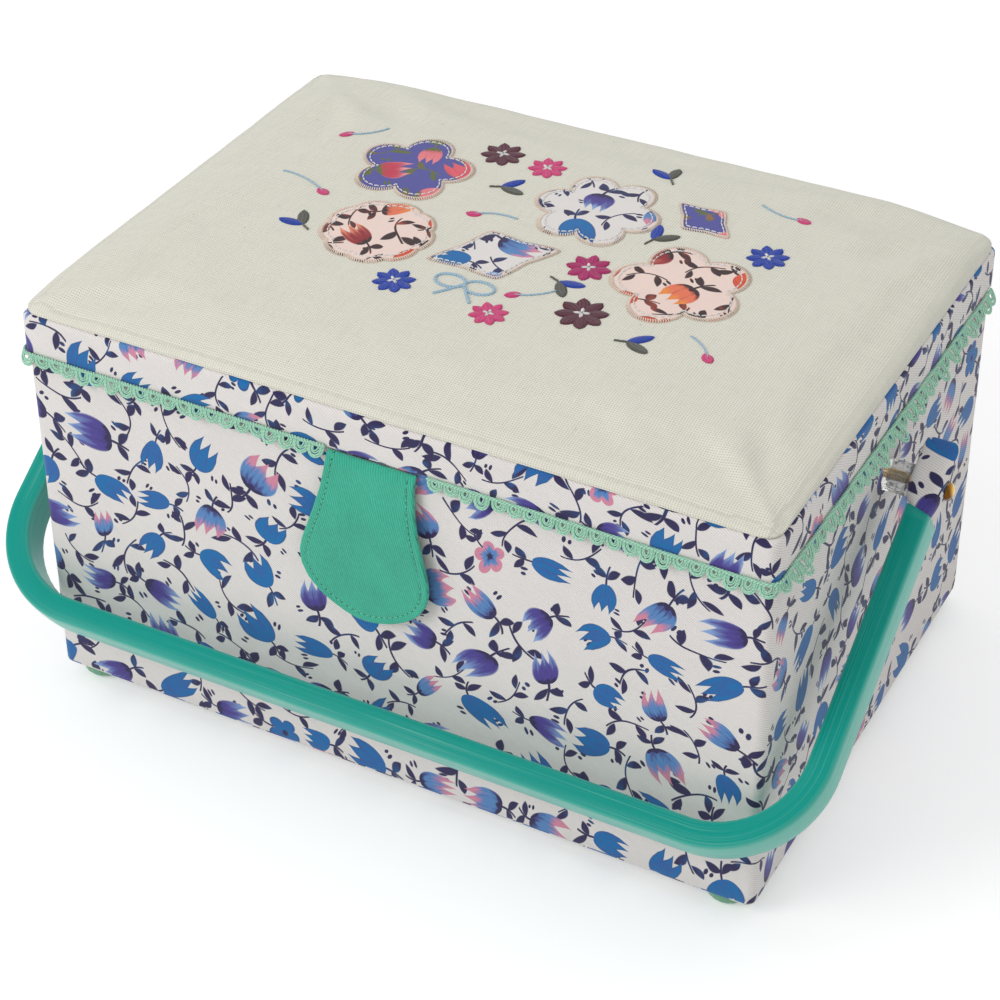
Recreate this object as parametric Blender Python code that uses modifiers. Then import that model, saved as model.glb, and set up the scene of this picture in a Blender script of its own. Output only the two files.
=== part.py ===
"""Fabric-covered sewing box with a padded lid, a closure tab, a bail handle and a lift-out tray."""
import math

import bmesh
import bpy
from mathutils import Matrix, Vector

# Sizes in metres
MM = 0.001
GAP = 0.3 * MM
CLOTH = 0.8 * MM
BOARD = 3.0 * MM

# The box
BOX_WIDTH = 320 * MM
BOX_DEPTH = 226 * MM
BODY_HEIGHT = 157 * MM
CORNER_RADIUS = 4.0 * MM
FOOT_HEIGHT = 7.0 * MM
BODY_TOP = FOOT_HEIGHT + BODY_HEIGHT
TURN_UNDER = 14 * MM
WALL = CLOTH + GAP + BOARD
LINING_OUT = WALL + GAP
LINING_IN = LINING_OUT + CLOTH

# The lid, which stands 1 mm proud of the body at the front and the sides
LID_PROUD = 1.0 * MM
LID_GAP = 0.3 * MM
LID_BOTTOM = BODY_TOP + LID_GAP
LID_RIM = 18.7 * MM
LID_TOP = LID_BOTTOM + LID_RIM
LID_WIDTH = BOX_WIDTH + 2 * LID_PROUD
LID_DEPTH = BOX_DEPTH + LID_PROUD
LID_SHIFT = -LID_PROUD / 2
LID_LINING = 2.5 * MM

# The padded canvas panel on the lid
PANEL_INSET = 0.9 * MM
PANEL_SIDE = 3.4 * MM
PANEL_CROWN = 6.4 * MM
PANEL_CLOTH = 0.9 * MM
PANEL_BOARD = 1.5 * MM

# The bail handle, whose arms turn on pins at the middle of the sides
PIVOT_HEIGHT = FOOT_HEIGHT + 133.5 * MM
ARM_REACH = 163 * MM
BAIL_HALF_WIDTH = 184 * MM
BAIL_RADIUS = 45 * MM
BAIL_THICK = 10.5 * MM
BAIL_BROAD = 17 * MM
SLEEVE_WALL = 1.1 * MM
SLEEVE_EDGE = 1.3 * MM
SLEEVE_START = 13 * MM
REST_TILT = math.radians(34.5)

# Each end of the strap fills out past the sleeve and flattens to a pinched tip. In millimetres:
# distance beyond the pin, outer and inner face in from the bail's outline, half the breadth
STRAP_END = (
    (-10.0, 0.6, 11.0, 7.3), (-6.8, -0.4, 13.0, 7.3), (0.0, -0.6, 13.6, 6.9), (6.0, -0.5, 14.0, 5.3),
    (12.0, -0.2, 14.3, 3.2), (16.0, 0.1, 14.4, 2.0), (18.6, 0.7, 14.0, 1.1), (19.5, 1.8, 12.8, 0.5),
)
STRAP_PROUD = 0.6 * MM
STRAP_INNER = 14.1 * MM

# Pins and spacers of the handle
PIN_RADIUS = 2.0 * MM
PIN_HOLE = 2.3 * MM
SPACER_RADIUS = 6.6 * MM
WASHER_RADIUS = 7.0 * MM

# The closure tab, whose lower part stands off to clear the magnets
TAB_X = -2 * MM
TAB_LEAN = math.radians(3.5)
TAB_THICK = 2.2 * MM
TAB_LENGTH = 71.6 * MM
TAB_TOP_CLEAR = 0.7 * MM
TAB_STAND_OFF = 2.2 * MM
MAGNET_RADIUS = 7.0 * MM
MAGNET_DROP = 53 * MM
BODY_MAGNET_THICK = 1.8 * MM
TAB_MAGNET_THICK = 1.2 * MM

# The looped trim along the lid's lower edge
TRIM_PITCH = 6.8 * MM
TRIM_THICK = 1.6 * MM
TRIM_TOP = LID_BOTTOM + 2.3 * MM
TRIM_START = 22 * MM

# The feet
FOOT_RADIUS = 9.5 * MM
FOOT_INSET_X = 14 * MM
FOOT_INSET_Y = 10.5 * MM

# The lift-out tray
TRAY_BOTTOM = 110.3 * MM
TRAY_HEIGHT = 41 * MM
TRAY_WIDTH = 299 * MM
TRAY_DEPTH = 208 * MM
TRAY_WALL = 1.8 * MM
LEDGE_TOP = TRAY_BOTTOM - GAP
LEDGE_SIZE = (8 * MM, 190 * MM, 12 * MM)

# The cloth hinge across the back
HINGE_CLOTH_WIDTH = 300 * MM
HINGE_CLOTH_LEAF = 12 * MM

# The whole object's footprint is centred on the origin
GRIP_FRONT = ARM_REACH * math.cos(REST_TILT) + (BAIL_BROAD / 2 - SLEEVE_EDGE) * math.sin(REST_TILT)
BACK_FACE = BOX_DEPTH / 2 + GAP + CLOTH
BOX_Y = (GRIP_FRONT - BACK_FACE) / 2

# Colours, roughness and metallic value of each material
LOOKS = {
    "printed_cotton": ((0.72, 0.69, 0.69), 0.85, 0.0),
    "cream_canvas": ((0.76, 0.75, 0.66), 0.9, 0.0),
    "green_twill": ((0.06, 0.42, 0.28), 0.85, 0.0),
    "mint_thread": ((0.32, 0.62, 0.45), 0.8, 0.0),
    "teal_plastic": ((0.005, 0.25, 0.2), 0.3, 0.0),
    "green_plastic": ((0.12, 0.34, 0.2), 0.35, 0.0),
    "brass": ((0.83, 0.6, 0.22), 0.25, 1.0),
    "nickel": ((0.7, 0.7, 0.68), 0.3, 1.0),
    "clear_plastic": ((0.85, 0.85, 0.83), 0.1, 0.0),
    "grey_board": ((0.36, 0.34, 0.31), 0.9, 0.0),
    "foam": ((0.85, 0.84, 0.78), 0.95, 0.0),
    "lining_cloth": ((0.1, 0.42, 0.36), 0.7, 0.0),
    "tray_plastic": ((0.8, 0.82, 0.8), 0.4, 0.0),
    "pincushion_cloth": ((0.06, 0.42, 0.28), 0.85, 0.0),
}


def clear_scene():
    """Remove what the scene holds."""
    for item in list(bpy.data.objects):
        bpy.data.objects.remove(item, do_unlink=True)


def new_collection(name):
    """A collection linked to the scene."""
    collection = bpy.data.collections.new(name)
    bpy.context.scene.collection.children.link(collection)
    return collection


def material(name):
    """The Principled material of that name."""
    found = bpy.data.materials.get(name)
    if found:
        return found
    colour, roughness, metallic = LOOKS[name]
    made = bpy.data.materials.new(name)
    made.use_nodes = True
    shader = made.node_tree.nodes["Principled BSDF"]
    shader.inputs["Base Color"].default_value = (*colour, 1.0)
    shader.inputs["Roughness"].default_value = roughness
    shader.inputs["Metallic"].default_value = metallic
    made.diffuse_color = (*colour, 1.0)
    return made


clear_scene()
PART = new_collection("sewing_box")
CUTTERS = new_collection("cutters")


def empty(name, location, parent=None, tilt=0.0):
    """An empty that carries pieces, turned about X by its tilt."""
    made = bpy.data.objects.new(name, None)
    PART.objects.link(made)
    made.parent = parent
    made.location = location
    made.rotation_euler = (tilt, 0.0, 0.0)
    return made


def finish_mesh(name, bm, look, parent, location=(0, 0, 0), smooth=30, collection=None):
    """Turn a bmesh into a named object with its material."""
    bmesh.ops.recalc_face_normals(bm, faces=bm.faces)
    mesh = bpy.data.meshes.new(name)
    bm.to_mesh(mesh)
    bm.free()
    made = bpy.data.objects.new(name, mesh)
    (collection or PART).objects.link(made)
    made.parent = parent
    made.location = location
    if look:
        mesh.materials.append(material(look))
    if smooth:
        mesh.shade_smooth()
        mesh.set_sharp_from_angle(angle=math.radians(smooth))
    return made


def box(name, size, location, look, parent, round_edges=None, radius=0.0):
    """A box about its location, with chosen upright edges rounded."""
    bm = bmesh.new()
    bmesh.ops.create_cube(bm, size=1.0, matrix=Matrix.Diagonal((*size, 1.0)))
    if round_edges:
        edges = [e for e in bm.edges if round_edges(*[v.co for v in e.verts])]
        bmesh.ops.bevel(bm, geom=edges, offset=radius, segments=4, profile=0.5, affect="EDGES")
    return finish_mesh(name, bm, look, parent, location, smooth=35)


def loft(name, rings, look, parent, location=(0, 0, 0), closed=False, smooth=30, collection=None):
    """Join rings of points by faces, and cap the ends unless the rings close on themselves."""
    bm = bmesh.new()
    rows = [[bm.verts.new(p) for p in ring] for ring in rings]
    count = len(rows[0])
    last = len(rows) if closed else len(rows) - 1
    for i in range(last):
        here, there = rows[i], rows[(i + 1) % len(rows)]
        for j in range(count):
            k = (j + 1) % count
            bm.faces.new((here[j], here[k], there[k], there[j]))
    if not closed:
        bm.faces.new(rows[0])
        bm.faces.new(rows[-1][::-1])
    return finish_mesh(name, bm, look, parent, location, smooth, collection)


def rounded_ring(width, depth, radius, height, steps=5):
    """Points of a rounded rectangle at one height."""
    points = []
    for cx, cy, start in ((1, 1, 0), (-1, 1, 90), (-1, -1, 180), (1, -1, 270)):
        for k in range(steps):
            turn = math.radians(start + 90 * k / (steps - 1))
            x = cx * (width / 2 - radius) + radius * math.cos(turn)
            y = cy * (depth / 2 - radius) + radius * math.sin(turn)
            points.append((x, y, height))
    return points


def around(name, width, depth, profile, look, parent, location, closed=True, radius=CORNER_RADIUS, steps=5):
    """Carry a profile of (inset, height) pairs round a rounded rectangle."""
    rings = []
    for inset, height in profile:
        r = max(radius - inset, 0.6 * MM)
        rings.append(rounded_ring(width - 2 * inset, depth - 2 * inset, r, height, steps))
    return loft(name, rings, look, parent, location, closed=closed)


def turned(name, profile, look, parent, location, steps=20, axis="Z"):
    """Turn a profile of (radius, height) pairs, from its top down, about the axis."""
    bm = bmesh.new()
    verts = [bm.verts.new((r, 0.0, z)) for r, z in profile]
    for a, b in zip(verts, verts[1:]):
        bm.edges.new((a, b))
    mesh = bpy.data.meshes.new(name)
    bm.to_mesh(mesh)
    bm.free()
    made = bpy.data.objects.new(name, mesh)
    PART.objects.link(made)
    made.parent = parent
    made.location = location
    mesh.materials.append(material(look))
    screw = made.modifiers.new("Turn", "SCREW")
    screw.steps = steps
    screw.render_steps = steps
    screw.use_merge_vertices = True
    screw.merge_threshold = 0.00001
    screw.use_smooth_shade = True
    if axis == "X":
        made.rotation_euler = (0.0, math.pi / 2, 0.0)
    if axis == "-X":
        made.rotation_euler = (0.0, -math.pi / 2, 0.0)
    return made


def cylinder_cutter(name, radius, length, location, parent, axis="Z", segments=20):
    """A cylinder that cuts a hole."""
    bm = bmesh.new()
    bmesh.ops.create_cone(
        bm, cap_ends=True, segments=segments, radius1=radius, radius2=radius, depth=length)
    cutter = finish_mesh(name, bm, None, parent, location, smooth=0, collection=CUTTERS)
    if axis == "X":
        cutter.rotation_euler = (0.0, math.pi / 2, 0.0)
    if axis == "Y":
        cutter.rotation_euler = (math.pi / 2, 0.0, 0.0)
    cutter.hide_render = True
    cutter.display_type = "WIRE"
    return cutter


def box_cutter(name, size, location, parent, radius=0.0, steps=4):
    """A box, or one with rounded upright edges, that cuts a space."""
    half = size[2] / 2
    rings = [
        rounded_ring(size[0], size[1], max(radius, 0.5 * MM), -half, steps),
        rounded_ring(size[0], size[1], max(radius, 0.5 * MM), half, steps),
    ]
    cutter = loft(name, rings, None, parent, location, smooth=0, collection=CUTTERS)
    cutter.hide_render = True
    cutter.display_type = "WIRE"
    return cutter


def cut(piece, cutter):
    """Take the cutter's shape out of the piece."""
    step = piece.modifiers.new("Cut " + cutter.name, "BOOLEAN")
    step.operation = "DIFFERENCE"
    step.object = cutter
    step.solver = "EXACT"


def build_body(root):
    """The four walls and the base, with their printed cover, lining and bottom panel."""
    inner_x = BOX_WIDTH / 2 - CLOTH - GAP
    inner_y = BOX_DEPTH / 2 - CLOTH - GAP
    low = FOOT_HEIGHT + CLOTH + GAP
    high = BODY_TOP - CLOTH - GAP
    middle, tall = (low + high) / 2, high - low

    def outer_left(a, b):
        return abs(a.x - b.x) < 1e-6 and abs(a.y - b.y) < 1e-6 and a.x < 0

    def outer_right(a, b):
        return abs(a.x - b.x) < 1e-6 and abs(a.y - b.y) < 1e-6 and a.x > 0

    side = (BOARD, 2 * inner_y, tall)
    round_off = BOARD - 0.2 * MM
    left = box("left_board", side, (-inner_x + BOARD / 2, 0, middle), "grey_board", root,
               outer_left, round_off)
    right = box("right_board", side, (inner_x - BOARD / 2, 0, middle), "grey_board", root,
                outer_right, round_off)
    between = 2 * (inner_x - BOARD - GAP)
    box("front_board", (between, BOARD, tall), (0, -inner_y + BOARD / 2, middle), "grey_board", root)
    box("back_board", (between, BOARD, tall), (0, inner_y - BOARD / 2, middle), "grey_board", root)
    base_size = (between, 2 * (inner_y - BOARD - GAP), BOARD)
    base = box("base_board", base_size, (0, 0, low + BOARD / 2), "grey_board", root)

    cover = around("body_cover", BOX_WIDTH, BOX_DEPTH, [
        (0, FOOT_HEIGHT + 0.8 * MM), (0.8 * MM, FOOT_HEIGHT),
        (TURN_UNDER, FOOT_HEIGHT), (TURN_UNDER, FOOT_HEIGHT + CLOTH),
        (CLOTH + 0.3 * MM, FOOT_HEIGHT + CLOTH), (CLOTH, FOOT_HEIGHT + CLOTH + 0.3 * MM),
        (CLOTH, BODY_TOP - CLOTH), (LINING_IN, BODY_TOP - CLOTH),
        (LINING_IN, BODY_TOP), (0.8 * MM, BODY_TOP), (0, BODY_TOP - 0.6 * MM),
    ], "printed_cotton", root, (0, 0, 0))
    box("bottom_panel", (BOX_WIDTH - 2 * (TURN_UNDER + GAP), BOX_DEPTH - 2 * (TURN_UNDER + GAP), CLOTH),
        (0, 0, FOOT_HEIGHT + CLOTH / 2), "lining_cloth", root)
    floor = low + BOARD + GAP
    lining = around("body_lining", BOX_WIDTH, BOX_DEPTH, [
        (LINING_OUT, floor), (LINING_OUT, high), (LINING_IN, high), (LINING_IN, floor + CLOTH),
    ], "lining_cloth", root, (0, 0, 0), closed=False)

    pin_hole = cylinder_cutter(
        "pin_hole", PIN_HOLE, BOX_WIDTH + 40 * MM, (0, 0, PIVOT_HEIGHT), root, axis="X")
    for piece in (left, right, cover, lining):
        cut(piece, pin_hole)
    return base, cover


def build_feet(root, base, cover):
    """Four domed plastic feet with stubs that go up into the base board."""
    stub = 3.2 * MM
    profile = [
        (0, FOOT_HEIGHT + stub), (1.5 * MM, FOOT_HEIGHT + stub), (1.5 * MM, FOOT_HEIGHT - GAP),
        (FOOT_RADIUS - 0.4 * MM, FOOT_HEIGHT - GAP), (FOOT_RADIUS, FOOT_HEIGHT - 1.2 * MM),
        (FOOT_RADIUS - 0.4 * MM, 3.6 * MM), (FOOT_RADIUS - 2.0 * MM, 1.6 * MM),
        (FOOT_RADIUS - 4.3 * MM, 0.35 * MM), (FOOT_RADIUS - 5.3 * MM, 0), (0, 0),
    ]
    for side, sx in (("left", -1), ("right", 1)):
        for end, sy in (("front", -1), ("back", 1)):
            x = sx * (BOX_WIDTH / 2 - FOOT_INSET_X)
            y = sy * (BOX_DEPTH / 2 - FOOT_INSET_Y)
            turned(f"foot_{end}_{side}", profile, "green_plastic", root, (x, y, 0))
            top = FOOT_HEIGHT + stub + GAP
            start = FOOT_HEIGHT - 1.0 * MM
            hole = cylinder_cutter(f"foot_hole_{end}_{side}", 1.8 * MM, top - start,
                                   (x, y, (top + start) / 2), root, segments=12)
            cut(base, hole)
            cut(cover, hole)


def build_pivots(root):
    """Brass pins, clear spacers and washers that carry the handle on the side walls."""
    head = BAIL_HALF_WIDTH + STRAP_PROUD + GAP
    lining_face = BOX_WIDTH / 2 - LINING_IN
    washer_thick = 0.8 * MM
    washer_out = lining_face - GAP
    clench = washer_out - washer_thick - GAP
    pin = [
        (0, head + 2.6 * MM), (1.6 * MM, head + 2.4 * MM), (2.9 * MM, head + 1.6 * MM),
        (3.7 * MM, head + 0.5 * MM), (3.8 * MM, head), (PIN_RADIUS, head),
        (PIN_RADIUS, clench), (3.3 * MM, clench), (3.0 * MM, clench - 0.9 * MM),
        (1.8 * MM, clench - 1.4 * MM), (0, clench - 1.5 * MM),
    ]
    for side, axis, sx in (("right", "X", 1), ("left", "-X", -1)):
        turned(f"pivot_pin_{side}", pin, "brass", root, (0, 0, PIVOT_HEIGHT), steps=16, axis=axis)
        start = BOX_WIDTH / 2 + GAP
        end = BAIL_HALF_WIDTH - STRAP_INNER - GAP
        for name, radius, a, b, look, sides in (
                (f"spacer_{side}", SPACER_RADIUS, start, end, "clear_plastic", 8),
                (f"pin_washer_{side}", WASHER_RADIUS, washer_out - washer_thick, washer_out, "nickel", 24)):
            bm = bmesh.new()
            bmesh.ops.create_cone(bm, cap_ends=True, segments=sides, radius1=radius, radius2=radius,
                                  depth=b - a)
            piece = finish_mesh(name, bm, look, root, (sx * (a + b) / 2, 0, PIVOT_HEIGHT))
            piece.rotation_euler = (0.0, math.pi / 2, 0.0)
            bore = cylinder_cutter(f"{name}_bore", PIN_HOLE, (b - a) + 6 * MM,
                                   (sx * (a + b) / 2, 0, PIVOT_HEIGHT), root, axis="X", segments=16)
            cut(piece, bore)


def bail_path(inset, start, end_start):
    """Points and outward directions along the bail, moved in by the inset, in the arms' plane."""
    half = BAIL_HALF_WIDTH - inset
    reach = ARM_REACH - inset
    radius = BAIL_RADIUS - inset
    points = [(-half, -start, -1, 0), (-half, -(reach - radius) * 0.5, -1, 0)]
    turns = 10
    for k in range(turns + 1):
        turn = math.pi / 2 * k / turns
        points.append((-half + radius - radius * math.cos(turn), -(reach - radius) - radius * math.sin(turn),
                       -math.cos(turn), -math.sin(turn)))
    runs = 4
    for k in range(1, runs):
        points.append((-half + radius + 2 * (half - radius) * k / runs, -reach, 0, -1))
    for k in range(turns + 1):
        turn = math.pi / 2 * (1 - k / turns)
        points.append((half - radius + radius * math.cos(turn), -(reach - radius) - radius * math.sin(turn),
                       math.cos(turn), -math.sin(turn)))
    points += [(half, -(reach - radius) * 0.5, 1, 0), (half, -end_start, 1, 0)]
    return points


def sleeve_section(low, high, half, corner):
    """A closed section of (inward distance, height) with its corners cut off."""
    return [
        (low + corner, half), (high - corner, half), (high, half - corner), (high, -half + corner),
        (high - corner, -half), (low + corner, -half), (low, -half + corner), (low, half - corner),
    ]


def section_rings(path, section):
    """The section's points at each point of the path."""
    return [[(x - nx * d, y - ny * d, z) for d, z in section] for x, y, nx, ny in path]


def build_handle(axis):
    """A covered strap bent to a U, with a plastic sleeve over all but its ends."""
    half = BAIL_BROAD / 2
    path = bail_path(0.0, SLEEVE_START, SLEEVE_START)
    outer = section_rings(path, sleeve_section(0.0, BAIL_THICK, half, SLEEVE_EDGE))
    wall = SLEEVE_WALL
    inner = section_rings(path, sleeve_section(wall, BAIL_THICK - wall, half - wall, 0.7 * MM))
    bm = bmesh.new()
    outer_rows = [[bm.verts.new(p) for p in ring] for ring in outer]
    inner_rows = [[bm.verts.new(p) for p in ring] for ring in inner]
    for rows in (outer_rows, inner_rows):
        for a, b in zip(rows, rows[1:]):
            for j in range(8):
                k = (j + 1) % 8
                bm.faces.new((a[j], a[k], b[k], b[j]))
    for end in (0, -1):
        for j in range(8):
            k = (j + 1) % 8
            bm.faces.new((outer_rows[end][j], outer_rows[end][k], inner_rows[end][k], inner_rows[end][j]))
    finish_mesh("handle_sleeve", bm, "teal_plastic", axis, smooth=35)

    clear = wall + GAP
    strap = sleeve_section(clear, BAIL_THICK - clear, half - clear, 0.9 * MM)
    path = bail_path(0.0, SLEEVE_START - 0.7 * MM, SLEEVE_START - 0.7 * MM)
    rings = section_rings(path, strap)
    tips = []
    for x, nx in ((-BAIL_HALF_WIDTH, -1), (BAIL_HALF_WIDTH, 1)):
        rows = []
        for reach, low, high, broad in STRAP_END:
            section = sleeve_section(low * MM, high * MM, broad * MM, min(0.9, 0.4 * broad) * MM)
            rows.append([(x - nx * d, reach * MM, z) for d, z in section])
        tips.append(rows)
    rings = tips[0][::-1] + rings + tips[1]
    core = loft("handle_strap", rings, "printed_cotton", axis, smooth=40)
    bore = cylinder_cutter("strap_bore", PIN_HOLE, 2 * BAIL_HALF_WIDTH + 20 * MM, (0, 0, 0), axis,
                           axis="X", segments=16)
    cut(core, bore)


def build_lid(axis, origin):
    """The lid's rim, top, covers, padded canvas panel and the pieces inside it."""
    inner_x = LID_WIDTH / 2 - CLOTH - GAP
    inner_y = LID_DEPTH / 2 - CLOTH - GAP
    low = LID_BOTTOM + CLOTH + GAP
    high = LID_TOP - CLOTH - GAP
    middle, tall = (low + high) / 2, high - low

    def place(x, y, z):
        return (x - origin[0], y + LID_SHIFT - origin[1], z - origin[2])

    def outer_left(a, b):
        return abs(a.x - b.x) < 1e-6 and abs(a.y - b.y) < 1e-6 and a.x < 0

    def outer_right(a, b):
        return abs(a.x - b.x) < 1e-6 and abs(a.y - b.y) < 1e-6 and a.x > 0

    side = (BOARD, 2 * inner_y, tall)
    round_off = BOARD - 0.2 * MM
    box("lid_left_board", side, place(-inner_x + BOARD / 2, 0, middle), "grey_board", axis,
        outer_left, round_off)
    box("lid_right_board", side, place(inner_x - BOARD / 2, 0, middle), "grey_board", axis,
        outer_right, round_off)
    between = 2 * (inner_x - BOARD - GAP)
    box("lid_front_board", (between, BOARD, tall), place(0, -inner_y + BOARD / 2, middle), "grey_board",
        axis)
    box("lid_back_board", (between, BOARD, tall), place(0, inner_y - BOARD / 2, middle), "grey_board",
        axis)
    box("lid_top_board", (between, 2 * (inner_y - BOARD - GAP), BOARD), place(0, 0, high - BOARD / 2),
        "grey_board", axis)

    around("lid_cover", LID_WIDTH, LID_DEPTH, [
        (0, LID_BOTTOM + 0.6 * MM), (0.8 * MM, LID_BOTTOM),
        (LINING_IN, LID_BOTTOM), (LINING_IN, LID_BOTTOM + CLOTH),
        (CLOTH, LID_BOTTOM + CLOTH), (CLOTH, LID_TOP - CLOTH),
        (TURN_UNDER, LID_TOP - CLOTH), (TURN_UNDER, LID_TOP),
        (1.6 * MM, LID_TOP), (0.45 * MM, LID_TOP - 0.45 * MM), (0, LID_TOP - 1.6 * MM),
    ], "printed_cotton", axis, place(0, 0, 0))

    under_top = high - BOARD - GAP
    lining_face = under_top - LID_LINING
    around("lid_lining", LID_WIDTH, LID_DEPTH, [
        (LINING_OUT, under_top), (LINING_OUT, low), (LINING_IN, low), (LINING_IN, lining_face),
    ], "lining_cloth", axis, place(0, 0, 0), closed=False)

    # A pin cushion and a gathered pocket lie on the lid's lining
    hang = lining_face - GAP
    around("pincushion", 96 * MM, 74 * MM, [
        (0.6 * MM, hang), (0, hang - 2.2 * MM), (1.6 * MM, hang - 5.0 * MM), (6 * MM, hang - 8.0 * MM),
        (14 * MM, hang - 9.6 * MM), (26 * MM, hang - 10.2 * MM),
    ], "pincushion_cloth", axis, place(86 * MM, 0, 0), closed=False, radius=14 * MM)
    deep = 6.8 * MM
    pocket = box("lid_pocket", (150 * MM, 96 * MM, deep), place(-62 * MM, 4 * MM, hang - deep / 2),
                 "lining_cloth", axis)
    pouch = box_cutter("pocket_space", (147 * MM, 99 * MM, deep),
                       place(-62 * MM, 1 * MM, hang - deep / 2 + 1.2 * MM), axis)
    cut(pocket, pouch)

    build_panel(axis, place)
    return lining_face


def build_panel(axis, place):
    """The board, foam and domed canvas of the lid's top."""
    start = LID_TOP + GAP
    edge = start + PANEL_SIDE
    board_top = start + PANEL_BOARD
    cloth = PANEL_CLOTH
    board_inset = PANEL_INSET + cloth + 0.1 * MM + GAP
    around("panel_board", LID_WIDTH, LID_DEPTH, [(board_inset, start), (board_inset, board_top)],
           "grey_board", axis, place(0, 0, 0), closed=False, radius=6 * MM, steps=6)

    def crown(inset, drop):
        reach = 74 * MM
        share = max(0.0, 1 - inset / reach)
        return edge - drop + PANEL_CROWN * (1 - share ** 3.2)

    insets = [0.0, 1.0 * MM, 3.0 * MM, 6.5 * MM, 12 * MM, 20 * MM, 32 * MM, 48 * MM, 70 * MM]
    outer = [(PANEL_INSET + 0.5 * MM, start), (PANEL_INSET, start + 1.0 * MM)]
    for inset in insets:
        bulge = 1.3 * MM * (1 - min(1.0, inset / (1.0 * MM))) ** 2
        outer.append((PANEL_INSET + inset + 0.25 * MM, crown(inset, bulge)))
    inner = []
    for inset in insets[1:][::-1]:
        inner.append((PANEL_INSET + inset + cloth, crown(inset, cloth * 1.05)))
    inner.append((PANEL_INSET + cloth + 0.1 * MM, start + 1.0 * MM))
    inner.append((PANEL_INSET + cloth + 0.1 * MM, start))
    profile = inner + outer
    around("canvas_cover", LID_WIDTH, LID_DEPTH, profile, "cream_canvas", axis, place(0, 0, 0),
           closed=False, radius=6 * MM, steps=6)

    foam = [(PANEL_INSET + cloth + 1.2 * MM, board_top + GAP)]
    for inset in insets[2:]:
        foam.append((PANEL_INSET + inset + cloth + 0.4 * MM, crown(inset, cloth * 1.05 + 0.7 * MM)))
    around("foam_pad", LID_WIDTH, LID_DEPTH, foam, "foam", axis, place(0, 0, 0), closed=False,
           radius=6 * MM, steps=5)


def build_trim(axis, origin):
    """Looped braid along the lid's lower edge, in two runs that start beside the tab."""
    stand = GAP
    columns = ((0.0, 0.0), (0.18, 0.72), (0.5, 1.0), (0.82, 0.72))
    half = LID_WIDTH / 2
    front = -LID_DEPTH / 2 + LID_SHIFT
    radius = CORNER_RADIUS
    back_end = BOX_DEPTH / 2 - 5 * MM
    front_run = half - radius - TRIM_START
    corner = math.pi / 2 * (radius + stand)
    side_run = back_end - (front + radius)
    length = front_run + corner + side_run
    loops = round(length / TRIM_PITCH)
    step = length / loops

    def at(s, out):
        if s < front_run:
            return TRIM_START + s, front - out
        if s < front_run + corner:
            turn = math.pi / 2 * (s - front_run) / corner
            reach = radius + out
            return half - radius + reach * math.sin(turn), front + radius - reach * math.cos(turn)
        return half + out, front + radius + (s - front_run - corner)

    for side, sx in (("right", 1), ("left", -1)):
        rings = []
        for i in range(loops + 1):
            for share, drop in columns:
                s = (i + share) * step
                if s > length + 1e-9:
                    break
                low = LID_BOTTOM - 3.0 * MM - 4.0 * MM * drop
                ring = []
                for out, z in ((stand, low), (stand, TRIM_TOP), (stand + TRIM_THICK, TRIM_TOP),
                               (stand + TRIM_THICK, low)):
                    x, y = at(s, out)
                    ring.append((sx * x - origin[0], y - origin[1], z - origin[2]))
                rings.append(ring)
        loft(f"trim_{side}", rings, "mint_thread", axis, smooth=25)


def tab_half_width(share):
    """Half the tab's width at a share of its length, from the lid down."""
    shape = (
        (0.0, 19.0), (0.1, 19.4), (0.22, 20.4), (0.36, 22.6), (0.5, 25.6), (0.6, 27.6), (0.68, 28.4),
        (0.76, 27.6), (0.84, 24.6), (0.91, 19.2), (0.96, 13.0), (0.99, 6.4), (1.0, 2.4),
    )
    for (a, wa), (b, wb) in zip(shape, shape[1:]):
        if share <= b:
            return (wa + (wb - wa) * (share - a) / (b - a)) * MM
    return shape[-1][1] * MM


def tab_stand_off(share):
    """How far the tab's back lies in front of its top edge, to clear the magnets."""
    t = min(1.0, share / 0.42)
    return TAB_STAND_OFF * t * t * (3 - 2 * t)


def build_tab(axis):
    """The rounded tab that hangs from the lid's front edge, with a magnet on its back."""
    shares = [0, 0.05, 0.1, 0.16, 0.22, 0.29, 0.36, 0.43, 0.5, 0.55, 0.6, 0.64, 0.68, 0.72, 0.76, 0.8,
              0.84, 0.875, 0.91, 0.935, 0.96, 0.975, 0.99, 1.0]
    rings = []
    for share in shares:
        z = -GAP - share * TAB_LENGTH
        w = tab_half_width(share)
        back = -TAB_TOP_CLEAR - tab_stand_off(share)
        front = back - TAB_THICK
        edge = 0.5 * MM
        rings.append([
            (-w + edge, back, z), (w - edge, back, z), (w, (back + front) / 2, z),
            (w - edge, front, z), (-w + edge, front, z), (-w, (back + front) / 2, z),
        ])
    lean = Matrix.Rotation(TAB_LEAN, 3, "Y")
    rings = [[tuple(lean @ Vector(p)) for p in ring] for ring in rings]
    top = max(p[2] for ring in rings for p in ring)
    rings = [[(x, y, z - top - GAP) for x, y, z in ring] for ring in rings]
    loft("closure_tab", rings, "green_twill", axis, smooth=35)
    back = -TAB_TOP_CLEAR - TAB_STAND_OFF
    magnet_y = back + GAP + TAB_MAGNET_THICK / 2
    magnet("tab_magnet", axis, (magnet_x(), magnet_y, -MAGNET_DROP), TAB_MAGNET_THICK)


def magnet_x():
    """How far the magnets lie from the tab's middle, because the tab leans."""
    return -math.sin(TAB_LEAN) * MAGNET_DROP


def magnet(name, parent, location, thick):
    """A round magnetic snap that faces along Y."""
    bm = bmesh.new()
    bmesh.ops.create_cone(bm, cap_ends=True, segments=24, radius1=MAGNET_RADIUS, radius2=MAGNET_RADIUS,
                          depth=thick)
    piece = finish_mesh(name, bm, "nickel", parent, location)
    piece.rotation_euler = (math.pi / 2, 0.0, 0.0)


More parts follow.
